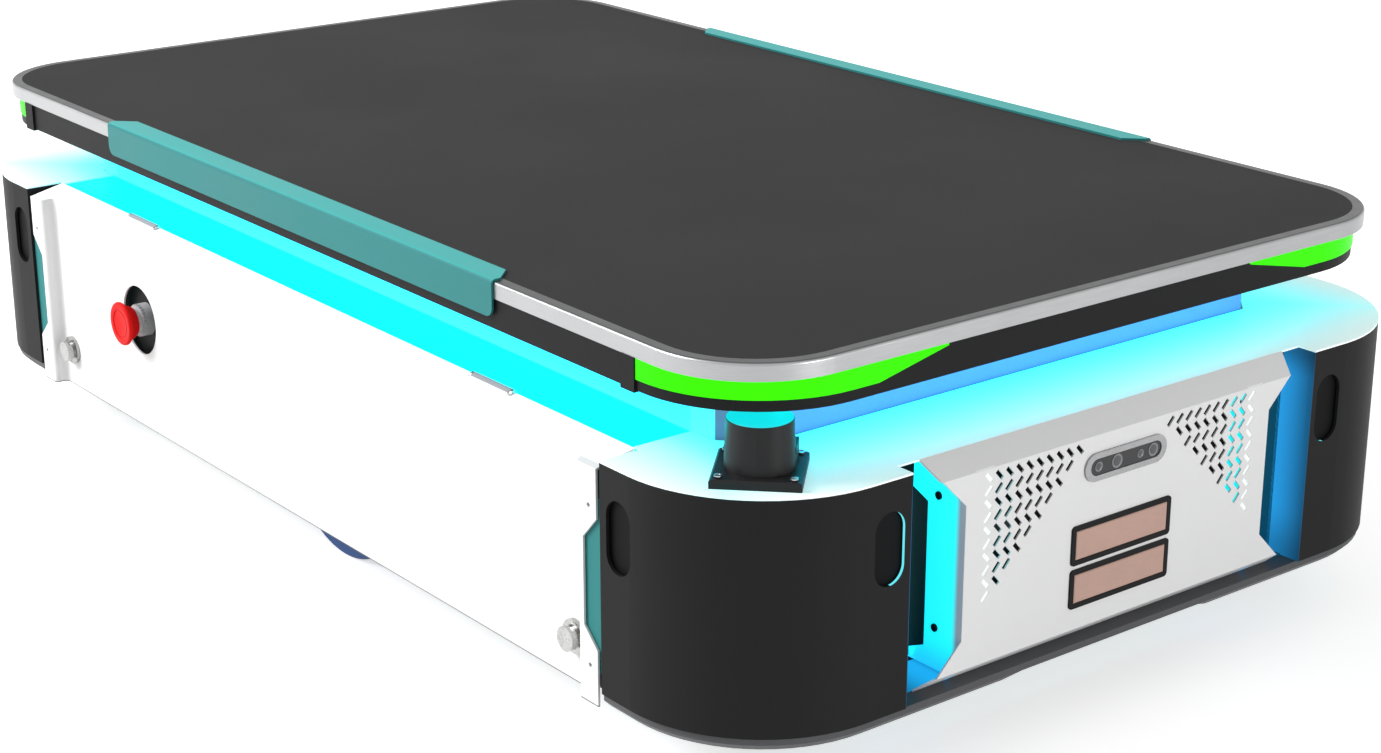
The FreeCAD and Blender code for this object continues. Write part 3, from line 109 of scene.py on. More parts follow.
def blendColours(tree, factor, first, second):
    node = addNode(tree, "ShaderNodeMix", data_type="RGBA")
    if isinstance(factor, float):
        node.inputs["Factor"].default_value = factor
    else:
        tree.links.new(factor, node.inputs["Factor"])
    for socket, value in zip((node.inputs[6], node.inputs[7]), (first, second)):
        if isinstance(value, tuple):
            socket.default_value = (*value, 1.0)
        else:
            tree.links.new(value, socket)
    return node.outputs[2]


def scaled(colour, factor):
    return tuple(min(channel * factor, 1.0) for channel in colour)


wear = {
    "coatRough": 0.15,
    "grainDetail": 5.0,
    "wideDetail": 3.0,
    "grainShare": 0.6,
    "wideShare": 0.4,
    "tones": (0.35, 0.65),
    "levels": (0.3, 0.7),
    # facing range in which the painted top light and shade colour is blended in
    "paintedTopFacing": (0.6, 0.95),
    "roughLow": 0.85,
    "roughHigh": 1.15,
    "glowLow": 0.94,
    "glowHigh": 1.06,
}


# a surface with fine grain, wide soft wear and a bump, all from noise in the row frame;
# "top" is the colour that faces turned up take, painted light and shade: brighter tops on
# the teal finish, a painted dark reflection on the silver finish's tops
def surface(name, look):
    material = bpy.data.materials.new(name)
    material.use_nodes = True
    tree = material.node_tree
    shader = tree.nodes["Principled BSDF"]
    shader.inputs["Metallic"].default_value = look.get("metal", 0.0)
    shader.inputs["Specular IOR Level"].default_value = look.get("shine", 0.2)
    shader.inputs["Coat Weight"].default_value = look.get("coat", 0.0)
    shader.inputs["Coat Roughness"].default_value = wear["coatRough"]
    coords = addNode(tree, "ShaderNodeTexCoord").outputs["Object"]
    stretch = addNode(tree, "ShaderNodeMapping")
    stretch.inputs["Scale"].default_value = look.get("stretch", (1.0, 1.0, 1.0))
    tree.links.new(coords, stretch.inputs["Vector"])
    grain = noise(tree, stretch.outputs["Vector"], look["grain"], wear["grainDetail"])
    wide = noise(tree, coords, look.get("wide", 6.0), wear["wideDetail"])
    mixed = compute(tree, "ADD", compute(tree, "MULTIPLY", grain, wear["grainShare"]),
                    compute(tree, "MULTIPLY", wide, wear["wideShare"]))
    spread = look.get("spread", 0.08)
    colour = blendColours(tree, remap(tree, mixed, *wear["tones"]),
                          scaled(look["colour"], 1 - spread), scaled(look["colour"], 1 + spread))
    if "top" in look:
        turn = addNode(tree, "ShaderNodeSeparateXYZ")
        tree.links.new(addNode(tree, "ShaderNodeNewGeometry").outputs["Normal"], turn.inputs[0])
        paintedTopFacing = remap(tree, turn.outputs["Z"], *wear["paintedTopFacing"])
        above = blendColours(tree, remap(tree, mixed, *wear["tones"]),
                             scaled(look["top"], 1 - spread), scaled(look["top"], 1 + spread))
        colour = blendColours(tree, paintedTopFacing, colour, above)
    tree.links.new(colour, shader.inputs["Base Color"])
    rough = look["rough"]
    tree.links.new(remap(tree, mixed, *wear["levels"], rough * wear["roughLow"],
                         min(rough * wear["roughHigh"], 1.0)), shader.inputs["Roughness"])
    bump = addNode(tree, "ShaderNodeBump")
    bump.inputs["Strength"].default_value = look.get("bump", 0.15)
    bump.inputs["Distance"].default_value = look.get("depth", 0.0003)
    tree.links.new(grain, bump.inputs["Height"])
    tree.links.new(bump.outputs["Normal"], shader.inputs["Normal"])
    if "glow" in look:
        shader.inputs["Emission Color"].default_value = (*look["glow"], 1.0)
        tree.links.new(remap(tree, mixed, *wear["levels"], look["power"] * wear["glowLow"],
                             look["power"] * wear["glowHigh"]),
                       shader.inputs["Emission Strength"])
    return material


def position(material):
    tree = material.node_tree
    split = addNode(tree, "ShaderNodeSeparateXYZ")
    tree.links.new(addNode(tree, "ShaderNodeTexCoord").outputs["Object"], split.inputs[0])
    x, y, z = split.outputs["X"], split.outputs["Y"], split.outputs["Z"]
    return tree, compute(tree, "ABSOLUTE", x), compute(tree, "ABSOLUTE", y), z


# 1 where value lies between low and high, 0 elsewhere
def between(tree, value, low, high, soft=0.0002):
    above = remap(tree, value, low - soft, low + soft)
    below = remap(tree, value, high - soft, high + soft, 1.0, 0.0)
    return compute(tree, "MULTIPLY", above, below)


def allOf(tree, *masks):
    total = masks[0]
    for mask in masks[1:]:
        total = compute(tree, "MULTIPLY", total, mask)
    return total


# light that falls on a painted surface from a hidden strip, where mask is 1
def litBy(material, mask, colour, darken=0.0):
    tree = material.node_tree
    shader = tree.nodes["Principled BSDF"]
    shader.inputs["Emission Strength"].default_value = 1.0
    before = (0.0, 0.0, 0.0)
    if shader.inputs["Emission Color"].links:
        before = shader.inputs["Emission Color"].links[0].from_socket
    tree.links.new(blendColours(tree, mask, before, colour), shader.inputs["Emission Color"])
    if darken:
        tint(material, compute(tree, "MULTIPLY", mask, darken), colour)


# another base colour where mask is 1
def tint(material, mask, colour):
    tree = material.node_tree
    socket = tree.nodes["Principled BSDF"].inputs["Base Color"]
    tree.links.new(blendColours(tree, mask, socket.links[0].from_socket, colour), socket)


# CAD finishes, one per material slot

looks = {
    "painted_white": {"colour": (0.80, 0.80, 0.80), "rough": 0.45, "grain": 900, "wide": 4,
                      "spread": 0.012, "bump": 0.06},
    "shell_black": {"colour": (0.0185, 0.0185, 0.0188), "rough": 0.5, "grain": 1500, "wide": 5,
                    "spread": 0.1, "bump": 0.3, "depth": 0.0002, "shine": 0.05},
    "rim_grey": {"colour": (0.085, 0.086, 0.09), "rough": 0.5, "grain": 1200, "wide": 7,
                 "spread": 0.1, "bump": 0.25, "depth": 0.0002},
    "frame_black": {"colour": (0.03, 0.03, 0.033), "rough": 0.45, "grain": 700, "wide": 8,
                    "spread": 0.15, "bump": 0.2},
    "zinc": {"colour": (0.46, 0.46, 0.46), "rough": 0.34, "metal": 0.9, "grain": 260, "wide": 14,
             "spread": 0.12, "bump": 0.12, "shine": 0.5},
    "battery_grey": {"colour": (0.09, 0.1, 0.11), "rough": 0.55, "grain": 1100, "wide": 6,
                     "spread": 0.1, "bump": 0.3},
    "light": {"colour": (0.0, 0.1, 0.1), "rough": 0.5, "grain": 400, "wide": 5, "spread": 0.05,
              "bump": 0.05, "glow": (0.002, 1.0, 1.0), "power": 3.6, "shine": 0.03},
    "lens_green": {"colour": (0.0, 0.05, 0.0), "rough": 0.35, "grain": 300, "wide": 8,
                   "spread": 0.06, "bump": 0.05, "glow": (0.052, 1.0, 0.0), "power": 1.02,
                   "shine": 0.05},
    # painted light: the top colour is brighter, for the light that falls on the tops
    "teal": {"colour": (0.017, 0.185, 0.185), "top": (0.042, 0.40, 0.385), "rough": 0.45,
             "grain": 900, "wide": 6, "spread": 0.04, "bump": 0.12},
    # painted reflection: the top colour is much darker, a dark overhead reflection painted on
    # the tops
    "silver": {"colour": (0.38, 0.385, 0.39), "top": (0.085, 0.087, 0.087), "rough": 0.36,
               "metal": 0.8, "grain": 420, "wide": 10, "stretch": (0.12, 0.12, 3.0),
               "spread": 0.05, "bump": 0.08, "shine": 0.4},
    "window": {"colour": (0.006, 0.006, 0.008), "rough": 0.12, "grain": 500, "wide": 20,
               "spread": 0.2, "bump": 0.01, "shine": 0.5},
    "contact_black": {"colour": (0.008, 0.008, 0.008), "rough": 0.5, "grain": 1400, "wide": 9,
                      "spread": 0.15, "bump": 0.25, "shine": 0.1},
    "copper": {"colour": (0.50, 0.325, 0.27), "rough": 0.5, "metal": 0.2, "grain": 500,
               "wide": 30, "stretch": (1.0, 0.2, 3.0), "spread": 0.05, "bump": 0.15},
    "scanner_black": {"colour": (0.012, 0.012, 0.013), "rough": 0.4, "grain": 1300, "wide": 12,
                      "spread": 0.15, "bump": 0.2},
    "estop_red": {"colour": (0.62, 0.008, 0.008), "rough": 0.4, "grain": 600, "wide": 25,
                  "spread": 0.06, "bump": 0.06, "shine": 0.06},
    "collar_grey": {"colour": (0.42, 0.42, 0.43), "rough": 0.45, "grain": 700, "wide": 30,
                    "spread": 0.08, "bump": 0.12},
    "deck_dark": {"colour": (0.0125, 0.0125, 0.013), "rough": 0.5, "grain": 800, "wide": 7,
                  "spread": 0.1, "bump": 0.15, "shine": 0.08},
    "mat": {"colour": (0.034, 0.034, 0.0345), "rough": 0.7, "grain": 1800, "wide": 3,
            "spread": 0.05, "bump": 0.35, "depth": 0.0003, "shine": 0.06},
    "skirt_paint": {"colour": (0.17, 0.34, 0.85), "rough": 0.45, "grain": 700, "wide": 5,
                    "spread": 0.05, "bump": 0.1},
    "steel": {"colour": (0.6, 0.61, 0.63), "rough": 0.22, "metal": 1.0, "grain": 500, "wide": 12,
              "stretch": (1.0, 1.0, 0.15), "spread": 0.06, "bump": 0.08, "shine": 0.5},
    "wheel_grey": {"colour": (0.42, 0.43, 0.45), "rough": 0.35, "metal": 0.9, "grain": 300,
                   "wide": 18, "spread": 0.08, "bump": 0.1, "shine": 0.5},
    "tyre_blue": {"colour": (0.035, 0.085, 0.24), "rough": 0.55, "grain": 900, "wide": 20,
                  "spread": 0.12, "bump": 0.35},
    "caster_tread": {"colour": (0.05, 0.05, 0.055), "rough": 0.6, "grain": 900, "wide": 30,
                     "spread": 0.15, "bump": 0.3},
}
finishes = {name: surface(name, look) for name, look in looks.items()}
slotOf = {part["node"]: part["material_slot"] for part in frame["record"]["subparts"]}
for nodeName, shape in nodes.items():
    shape.data.materials.clear()
    shape.data.materials.append(finishes[slotOf[nodeName]])
print("finishes applied")


# cyan and blue light that falls on the parts beside the light strips

glow = {
    "cyan": (0.004, 0.78, 0.83),
    "coverMiddle": (0.06, 0.78, 0.83),
    "coverEdge": (0.36, 0.42, 0.40),
    "cheekLow": (0.012, 0.42, 0.90),
    "wall": (0.02, 0.33, 0.78),
    "wallFade": 0.040,
    "hairline": (0.15, 0.85, 0.95),
    "doorLip": (0.42, 0.43, 0.43),
    "lipHeight": 0.009,
    "knuckleTop": 0.0022,
    "skirtCorner": (0.25, 0.36, 0.60),
    "knuckle": (0.36, 0.38, 0.41),
    "knuckleReach": 0.0085,
    "petal": (0.22, 0.26, 0.26),
    "petalFrom": 0.146,
    "skirtSide": (0.012, 1.0, 1.0),
    "notchTop": 0.0170,
    "coverReach": 0.125,
    "coverTint": 0.75,
    "cheekInner": 0.0022,
    "cheekOuter": 0.0006,
    "cheekLowReach": 0.035,
    "doorFoot": (0.12, 0.12, 0.12),
    "paintedShadeFace": (0.01, 0.012, 0.013),
    "paintedShadeTurn": (0.8, 0.9),
    "paintedShadeFrom": (0.6, 0.605),
    "coverFrom": -0.01,
    "cheekPower": 0.9,
    "cheekFront": (-0.012, -0.005),
    "cheekTopSoft": 0.001,
    "petalFace": (-0.0010, -0.0005),
    "petalMargin": 0.01,
    "wallSkin": (0.0004, 0.0010),
    "wallPast": 0.02,
    "wallTop": 0.03,
    "wallTopShare": 0.4,
    "wallFoot": 0.05,
    "wallFootShare": 0.6,
    "knuckleSoft": 0.0004,
    "knuckleTopSoft": 0.0002,
    "lipSoft": 0.0005,
    "footEdge": (0.0006, 0.0012),
    "skirtCornerSide": (-0.056, -0.052),
    "skirtCornerEnd": (-0.060, -0.056),
    "skirtFace": (-0.0012, -0.0006),
    "scannerCap": (-0.0006, -0.0003),
    "trimFrom": 0.9,
    "trimPast": 0.004,
    "trimShare": 0.1,
}
pocket = {
    "depth": 0.0042,
    "drop": 0.056,
    "halfHeight": 0.031,
    "window": (0.006, 0.006, 0.0065),
    "floorSoft": 0.0006,
    "endInner": (0.284, 0.286),
    "sideInner": (0.559, 0.561),
    "hairNear": 0.0004,
    "hairFar": 0.0028,
    "hairInner": 0.0055,
    "hairOuter": 0.0200,
    "panelFace": 0.02,
}
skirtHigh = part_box("lift_skirt")[1]
shellLow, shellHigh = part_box("corner_shells")
panelLow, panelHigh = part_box("front_panel")
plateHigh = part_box("end_plates")[1]
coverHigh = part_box("top_covers")[1]
scannerLow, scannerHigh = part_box("scanners")
doorLow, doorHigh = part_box("side_door_right")


# how far a node's corners lie from the middle plane, among those at x below limit
def offsets(nodeName, limit):
    node = nodes[nodeName]
    spots = [node.matrix_world @ vertex.co for vertex in node.data.vertices]
    return [abs(spot.y) for spot in spots if spot.x < limit]


# the two ends of a fade, given as distances past a face
def past(face, span):
    return [face + step for step in span]


cheekY = max(offsets("front_panel", panelHigh.x - pocket["panelFace"]))
wallY = min(offsets("corner_shells", shellHigh.x))


def ownFinish(source, name, *nodeNames):
    copy = finishes[source].copy()
    copy.name = name
    for nodeName in nodeNames:
        nodes[nodeName].data.materials[0] = copy
    return copy


# painted light: cyan from the strips on the top covers near the lift skirt, paler towards the
# covers' edges, with cyan also painted into the base colour
cover = ownFinish("painted_white", "coverWhite", "top_covers")
tree, px, py, pz = position(cover)
away = compute(tree, "MAXIMUM", compute(tree, "SUBTRACT", px, skirtHigh.x),
               compute(tree, "SUBTRACT", py, skirtHigh.y))
fade = remap(tree, away, glow["coverFrom"], glow["coverReach"], 1.0, 0.0)
litBy(cover, 1.0, blendColours(tree, fade, glow["coverEdge"], glow["coverMiddle"]))
tint(cover, compute(tree, "MULTIPLY", fade, glow["coverTint"]), glow["cyan"])

cheeks = ownFinish("painted_white", "panelWhite", "front_panel", "rear_panel")
tree, px, py, pz = position(cheeks)
cheek = allOf(tree, between(tree, py, cheekY - glow["cheekInner"], cheekY + glow["cheekOuter"]),
              remap(tree, px, *past(panelHigh.x, glow["cheekFront"]), 1.0, 0.0),
              remap(tree, pz, panelHigh.z - glow["notchTop"] - glow["cheekTopSoft"],
                    panelHigh.z - glow["notchTop"], 1.0, 0.0))
lower = remap(tree, pz, panelLow.z, panelLow.z + glow["cheekLowReach"], 1.0, 0.0)
litBy(cheeks, cheek, blendColours(tree, lower, glow["cyan"], glow["cheekLow"]),
      glow["cheekPower"])
# painted light: a pale glow on the floors of the blind vents in the panels' outer column
petals = allOf(tree, between(tree, px, *past(panelHigh.x, glow["petalFace"])),
               between(tree, py, glow["petalFrom"], cheekY - glow["petalMargin"]))
litBy(cheeks, petals, glow["petal"])

shells = ownFinish("shell_black", "shellBlack", "corner_shells")
tree, px, py, pz = position(shells)
endWall = remap(tree, py, *past(wallY, glow["wallSkin"]), 1.0, 0.0)
depth = remap(tree, px, shellHigh.x - glow["wallFade"], shellHigh.x + glow["wallPast"],
              1.0, 0.0)
upper = remap(tree, pz, shellHigh.z - glow["wallTop"], shellHigh.z, 1.0, glow["wallTopShare"])
foot = remap(tree, pz, shellLow.z, shellLow.z + glow["wallFoot"], glow["wallFootShare"], 1.0)
litBy(shells, allOf(tree, endWall, depth, upper, foot), glow["wall"])
pocketMiddle = coverHigh.z - pocket["drop"]
inPocket = between(tree, pz, pocketMiddle - pocket["halfHeight"],
                   pocketMiddle + pocket["halfHeight"])
endFloor = allOf(tree, between(tree, px, shellHigh.x - pocket["depth"] - pocket["floorSoft"],
                               shellHigh.x - pocket["depth"] + pocket["floorSoft"]),
                 remap(tree, py, *pocket["endInner"], 1.0, 0.0))
sideFloor = allOf(tree, between(tree, py, shellHigh.y - pocket["depth"] - pocket["floorSoft"],
                                shellHigh.y - pocket["depth"] + pocket["floorSoft"]),
                  remap(tree, px, *pocket["sideInner"], 1.0, 0.0))
windows = allOf(tree, inPocket, compute(tree, "MAXIMUM", endFloor, sideFloor))
tint(shells, windows, pocket["window"])
hairline = allOf(tree, inPocket,
                 between(tree, px, shellHigh.x - pocket["hairFar"],
                         shellHigh.x - pocket["hairNear"]),
                 between(tree, py, wallY + pocket["hairInner"], wallY + pocket["hairOuter"]))
litBy(shells, hairline, glow["hairline"])

doors = ownFinish("painted_white", "doorWhite", "side_door_left", "side_door_right")
tree, px, py, pz = position(doors)
inKnuckle = remap(tree, py, -doorHigh.y + glow["knuckleReach"],
                  -doorHigh.y + glow["knuckleReach"] + glow["knuckleSoft"], 1.0, 0.0)
lip = remap(tree, pz, doorHigh.z - glow["lipHeight"] - glow["lipSoft"],
            doorHigh.z - glow["lipHeight"])
inKnuckle = allOf(tree, inKnuckle,
                  remap(tree, pz, doorHigh.z - glow["knuckleTop"] - glow["knuckleTopSoft"],
                        doorHigh.z - glow["knuckleTop"]))
# painted light: a pale glow on the doors' top lip, kept off the hinge knuckles
litBy(doors, allOf(tree, lip, compute(tree, "SUBTRACT", 1.0, inKnuckle)), glow["doorLip"])
# a grey base colour on the hinge knuckles
tint(doors, inKnuckle, glow["knuckle"])
# a dark grey base colour along the doors' bottom edge
tint(doors, remap(tree, pz, *past(doorLow.z, glow["footEdge"]), 1.0, 0.0), glow["doorFoot"])

skirtLit = ownFinish("skirt_paint", "skirtLit", "lift_skirt")
tree, px, py, pz = position(skirtLit)
tint(skirtLit, allOf(tree, remap(tree, py, *past(skirtHigh.y, glow["skirtCornerSide"])),
                     remap(tree, px, *past(skirtHigh.x, glow["skirtCornerEnd"])),
                     remap(tree, px, *past(skirtHigh.x, glow["skirtFace"]), 1.0, 0.0)),
     glow["skirtCorner"])
litBy(skirtLit, remap(tree, py, *past(skirtHigh.y, glow["skirtFace"])), glow["skirtSide"])

scannerSkin = ownFinish("scanner_black", "scannerSkin", "scanners")
tree, px, py, pz = position(scannerSkin)
litBy(scannerSkin, remap(tree, pz, *past(scannerHigh.z, glow["scannerCap"])), glow["cyan"])

# the upright bars shine sideways only: their faces that look along x, towards the panel, take
# painted shade, dark and unlit
bars = ownFinish("light", "stripLight", "light_strips")
tree, px, py, pz = position(bars)
turn = addNode(tree, "ShaderNodeSeparateXYZ")
tree.links.new(addNode(tree, "ShaderNodeNewGeometry").outputs["Normal"], turn.inputs[0])
paintedShadeFace = allOf(tree, remap(tree, compute(tree, "ABSOLUTE", turn.outputs["X"]), *glow["paintedShadeTurn"]),
             remap(tree, px, *glow["paintedShadeFrom"]))
tint(bars, paintedShadeFace, glow["paintedShadeFace"])
strength = bars.node_tree.nodes["Principled BSDF"].inputs["Emission Strength"]
unshadedFace = compute(tree, "SUBTRACT", 1.0, paintedShadeFace)
tree.links.new(compute(tree, "MULTIPLY", strength.links[0].from_socket, unshadedFace), strength)


def ownLook(name, look, *nodeNames):
    material = surface(name, look)
    for nodeName in nodeNames:
        nodes[nodeName].data.materials[0] = material
    return material


ownLook("bezelSilver", {"colour": (0.33, 0.33, 0.335), "rough": 0.3, "metal": 0.9, "grain": 500,
                        "wide": 40, "spread": 0.08, "bump": 0.06, "shine": 0.5},
        "camera_housings")
ownLook("knobSteel", {"colour": (0.40, 0.40, 0.39), "rough": 0.28, "metal": 1.0, "grain": 500,
                      "wide": 60, "spread": 0.14, "bump": 0.08, "shine": 0.5},
        "knob_left_front", "knob_left_rear", "knob_right_front", "knob_right_rear")
ownLook("accentTeal", {"colour": (0.034, 0.205, 0.205), "rough": 0.5, "grain": 900, "wide": 12,
                       "spread": 0.05, "bump": 0.12, "shine": 0.1}, "accent_plates")
print("lit surfaces done")


# shapes

def meshObject(name, build, material, body, smooth=True):
    mesh = bpy.data.meshes.new(name)
    shape = bmesh.new()
    build(shape)
    bmesh.ops.recalc_face_normals(shape, faces=shape.faces)
    shape.to_mesh(mesh)
    shape.free()
    for face in mesh.polygons:
        face.use_smooth = smooth
    if smooth:
        mesh.set_sharp_from_angle(angle=math.radians(35))
    piece = bpy.data.objects.new(name, mesh)
    scene.collection.objects.link(piece)
    mesh.materials.append(material)
    if body:
        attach(piece, body)
    return piece


# a turned shape: profile is (radius, height) along axis from centre
def turned(shape, centre, axis, profile, steps=24):
    turn = Vector(axis).to_track_quat("Z", "Y").to_matrix().to_4x4()
    place = Matrix.Translation(centre) @ turn
    rings = []
    for radius, height in profile:
        if radius < 1e-7:
            rings.append([shape.verts.new(place @ Vector((0, 0, height)))])
            continue
        ring = []
        for step in range(steps):
            angle = 2 * math.pi * step / steps
            ring.append(shape.verts.new(place @ Vector((radius * math.cos(angle),
                                                        radius * math.sin(angle), height))))
        rings.append(ring)
    for first, second in zip(rings, rings[1:]):
        for step in range(steps):
            after = (step + 1) % steps
            corners = [first[step % len(first)], first[after % len(first)],
                       second[after % len(second)], second[step % len(second)]]
            unique = list(dict.fromkeys(corners))
            if len(unique) > 2:
                shape.faces.new(unique)


def block(shape, low, high):
    size = [h - l for l, h in zip(low, high)]
    middle = [(l + h) / 2 for l, h in zip(low, high)]
    bmesh.ops.create_cube(shape, size=1.0,
                          matrix=Matrix.Translation(middle) @ Matrix.Diagonal((*size, 1.0)))


screwSteel = surface("screwSteel", {"colour": (0.5, 0.5, 0.52), "rough": 0.3, "metal": 1.0,
                                    "grain": 1500, "wide": 80, "spread": 0.1, "bump": 0.1})
screwBlack = surface("screwBlack", {"colour": (0.03, 0.03, 0.033), "rough": 0.35, "metal": 0.6,
                                    "grain": 1500, "wide": 80, "spread": 0.1, "bump": 0.1})


# shares of a head's radius and height; how far the head is sunk; steps round it
head = {"key": 0.5, "keyFloor": 0.35, "top": 0.8, "shoulder": 0.75, "sunk": 0.0004, "steps": 18}


# socket screws: spots is a list of (place on the surface, outward axis)
def socketScrews(name, spots, radius, height, material, body):
    key = radius * head["key"]
    keyFloor = height * head["keyFloor"]
    profile = [(0, keyFloor), (key, keyFloor), (key, height), (radius * head["top"], height),
               (radius, height * head["shoulder"]), (radius, -head["sunk"])]

    def build(shape):
        for place, axis in spots:
            turned(shape, place, axis, profile, head["steps"])
    return meshObject(name, build, material, body)


# depth cameras

lensSet = {
    "offsets": (-0.0315, -0.0105, 0.0165, 0.0315),
    "radii": (0.0042, 0.0060, 0.0036, 0.0056),
    "proud": 0.0003,
    "sunk": 0.0001,
    "rim": 0.82,
    "bore": 0.74,
    "boreFloor": 0.00012,
    "glass": 0.72,
    "glassFoot": 0.00008,
    "glassEdge": 0.00016,
    "dome": 0.6,
    "domeEdge": 0.00026,
    "domeTop": 0.0003,
    "steps": 32,
}
windowLow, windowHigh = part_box("camera_windows")
windowZ = (windowLow.z + windowHigh.z) / 2
lensGlass = surface("lensGlass", {"colour": (0.02, 0.022, 0.03), "rough": 0.06, "grain": 300,
                                  "wide": 60, "spread": 0.3, "bump": 0.01, "coat": 1.0})
lensRing = surface("lensRing", {"colour": (0.20, 0.20, 0.21), "rough": 0.25, "metal": 0.6,
                                "grain": 800, "wide": 60, "spread": 0.1, "bump": 0.05})


def ringProfile(radius):
    sunk, proud, floor = -lensSet["sunk"], lensSet["proud"], lensSet["boreFloor"]
    return [(0, sunk), (radius, sunk), (radius, proud), (radius * lensSet["rim"], proud),
            (radius * lensSet["bore"], floor), (0, floor)]


def glassProfile(radius):
    return [(radius, lensSet["glassFoot"]), (radius, lensSet["glassEdge"]),
            (radius * lensSet["dome"], lensSet["domeEdge"]), (0, lensSet["domeTop"])]


def lensPiece(name, place, sign, profile, material):
    def build(shape):
        turned(shape, place, (sign, 0, 0), profile, lensSet["steps"])
    meshObject(name, build, material, "chassis")


for end, sign in (("Front", 1), ("Rear", -1)):
    for index, (offset, radius) in enumerate(zip(lensSet["offsets"], lensSet["radii"])):
        place = (sign * windowHigh.x, sign * offset, windowZ)
        lensPiece(f"lensRing{end}{index}", place, sign, ringProfile(radius), lensRing)
        lensPiece(f"lensGlass{end}{index}", place, sign,
                  glassProfile(radius * lensSet["glass"]), lensGlass)
print("camera lenses done")


# screws at the panels' cheeks, the scanners' bases and under the floor pan

screws = {
    "cheekBack": 0.030,
    "cheekHeights": (0.2225, 0.1113),
    "cheekRadius": 0.0034,
    "scannerReach": 0.0396,
    "scannerDiagonal": 0.0488,
    "scannerTop": 0.0086,
    "scannerRadius": 0.0032,
    "panPitch": 0.155,
    "panEnd": 0.02,
    "panSide": 0.015,
    "panRadius": 0.0045,
    "panHeight": 0.002,
    "cheekHeight": 0.0016,
    "scannerHeight": 0.0006,
}
spots = []
for sx in (1, -1):
    for sy in (1, -1):
        for height in screws["cheekHeights"]:
            spots.append(((sx * (panelHigh.x - screws["cheekBack"]), sy * cheekY, height),
                          (0, sy, 0)))
socketScrews("cheekScrews", spots, screws["cheekRadius"], screws["cheekHeight"], screwBlack,
             "chassis")

panLow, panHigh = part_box("belly_pan")
spots = []
rowLength = panHigh.x - panLow.x - 2 * screws["panEnd"]
count = int(rowLength / screws["panPitch"])
for index in range(count + 1):
    x = panLow.x + screws["panEnd"] + index * rowLength / count
    for y in (panLow.y + screws["panSide"], panHigh.y - screws["panSide"]):
        spots.append(((x, y, panLow.z), (0, 0, -1)))
socketScrews("panScrews", spots, screws["panRadius"], screws["panHeight"], screwSteel,
             "chassis")

spots = []
for turn in (1, -1):
    middle = Vector((turn * (scannerHigh.x - screws["scannerDiagonal"]),
                     -turn * (scannerHigh.y - screws["scannerDiagonal"]),
                     scannerLow.z + screws["scannerTop"]))
    for step in ((1, 0), (-1, 0), (0, 1), (0, -1)):
        spot = middle + Vector((*step, 0)) * screws["scannerReach"]
        spots.append((spot, (0, 0, 1)))
socketScrews("scannerScrews", spots, screws["scannerRadius"], screws["scannerHeight"],
             screwSteel, "chassis")
print("screws done")


# near-black pads behind the vents, painted shade for the dark inside, and trim that closes
# the bays beside the panels

trim = {
    "ventShadeInner": 0.0478,
    "ventShadeOuter": 0.1240,
    "ventShadeLow": 0.1340,
    "ventShadeDrop": 0.0167,
    "ventShadeThick": 0.0018,
    "sheet": 0.0015,
    "ledgeThick": 0.0010,
    "ledgeReach": 0.040,
    "sealThick": 0.0025,
    "wallReturn": 0.033,
    "clear": 0.0001,
    "sealFoot": 0.0012,
    "sealDrop": 0.0035,
    "sealBack": 0.004,
    "sealFront": 0.0015,
}
ventShadeBlack = surface("ventShadeBlack", {"colour": (0.004, 0.004, 0.0045), "rough": 0.8,
                                    "grain": 2500, "wide": 300, "spread": 0.4, "bump": 0.6,
                                    "shine": 0.05})
bayTrim = surface("bayTrim", {"colour": (0.02, 0.022, 0.024), "rough": 0.5, "grain": 900,
                              "wide": 20, "spread": 0.15, "bump": 0.2, "shine": 0.1})
tree, px, py, pz = position(bayTrim)
# painted light: blue from the strips on the trim beside the panels' cheeks, fading towards the
# shells' end walls
litBy(bayTrim, allOf(tree, remap(tree, py, cheekY, wallY + glow["trimPast"], 1.0,
                                 glow["trimShare"]),
                     remap(tree, py, glow["trimFrom"] * cheekY, cheekY)), glow["cheekLow"])


# painted shade: near-black pads just behind the panel sheet, over part of the vents
def ventShadePads(shape):
    back = panelHigh.x - trim["sheet"] - trim["clear"]
    for sx in (1, -1):
        for sy in (1, -1):
            near, far = sorted((sx * back, sx * (back - trim["ventShadeThick"])))
            inner, outer = sorted((sy * trim["ventShadeInner"], sy * trim["ventShadeOuter"]))
            block(shape, (near, inner, trim["ventShadeLow"]),
                  (far, outer, panelHigh.z - trim["ventShadeDrop"]))


# a ledge across each end plate, and at each shell two strips that close the slot between
# its end wall and the plate
def bayParts(shape):
    clear = trim["clear"]
    front = plateHigh.x + clear
    behind = shellHigh.x - trim["wallReturn"]
    low = shellLow.z + trim["sealFoot"]
    high = shellHigh.z - trim["sealDrop"]
    for sx in (1, -1):
        near, far = sorted((sx * front, sx * (front + trim["ledgeReach"])))
        block(shape, (near, clear - wallY, shellLow.z + clear),
              (far, wallY - clear, shellLow.z + clear + trim["ledgeThick"]))
        for sy in (1, -1):
            near, far = sorted((sx * (front - trim["sealBack"]), sx * (behind - clear)))
            inner, outer = sorted((sy * wallY, sy * (wallY + trim["sealThick"])))
            block(shape, (near, inner, low), (far, outer, high))
            near, far = sorted((sx * (front - trim["sealBack"]),
                                sx * (front - trim["sealFront"])))
            inner, outer = sorted((sy * (plateHigh.y - clear), sy * (wallY + clear)))
            block(shape, (near, inner, low), (far, outer, high))


meshObject("ventShadeSheets", ventShadePads, ventShadeBlack, "chassis", False)
meshObject("bayTrim", bayParts, bayTrim, "chassis", False)
print("ventShades and bay trim done")


# LED tape under the deck, in front of and behind the lift skirt

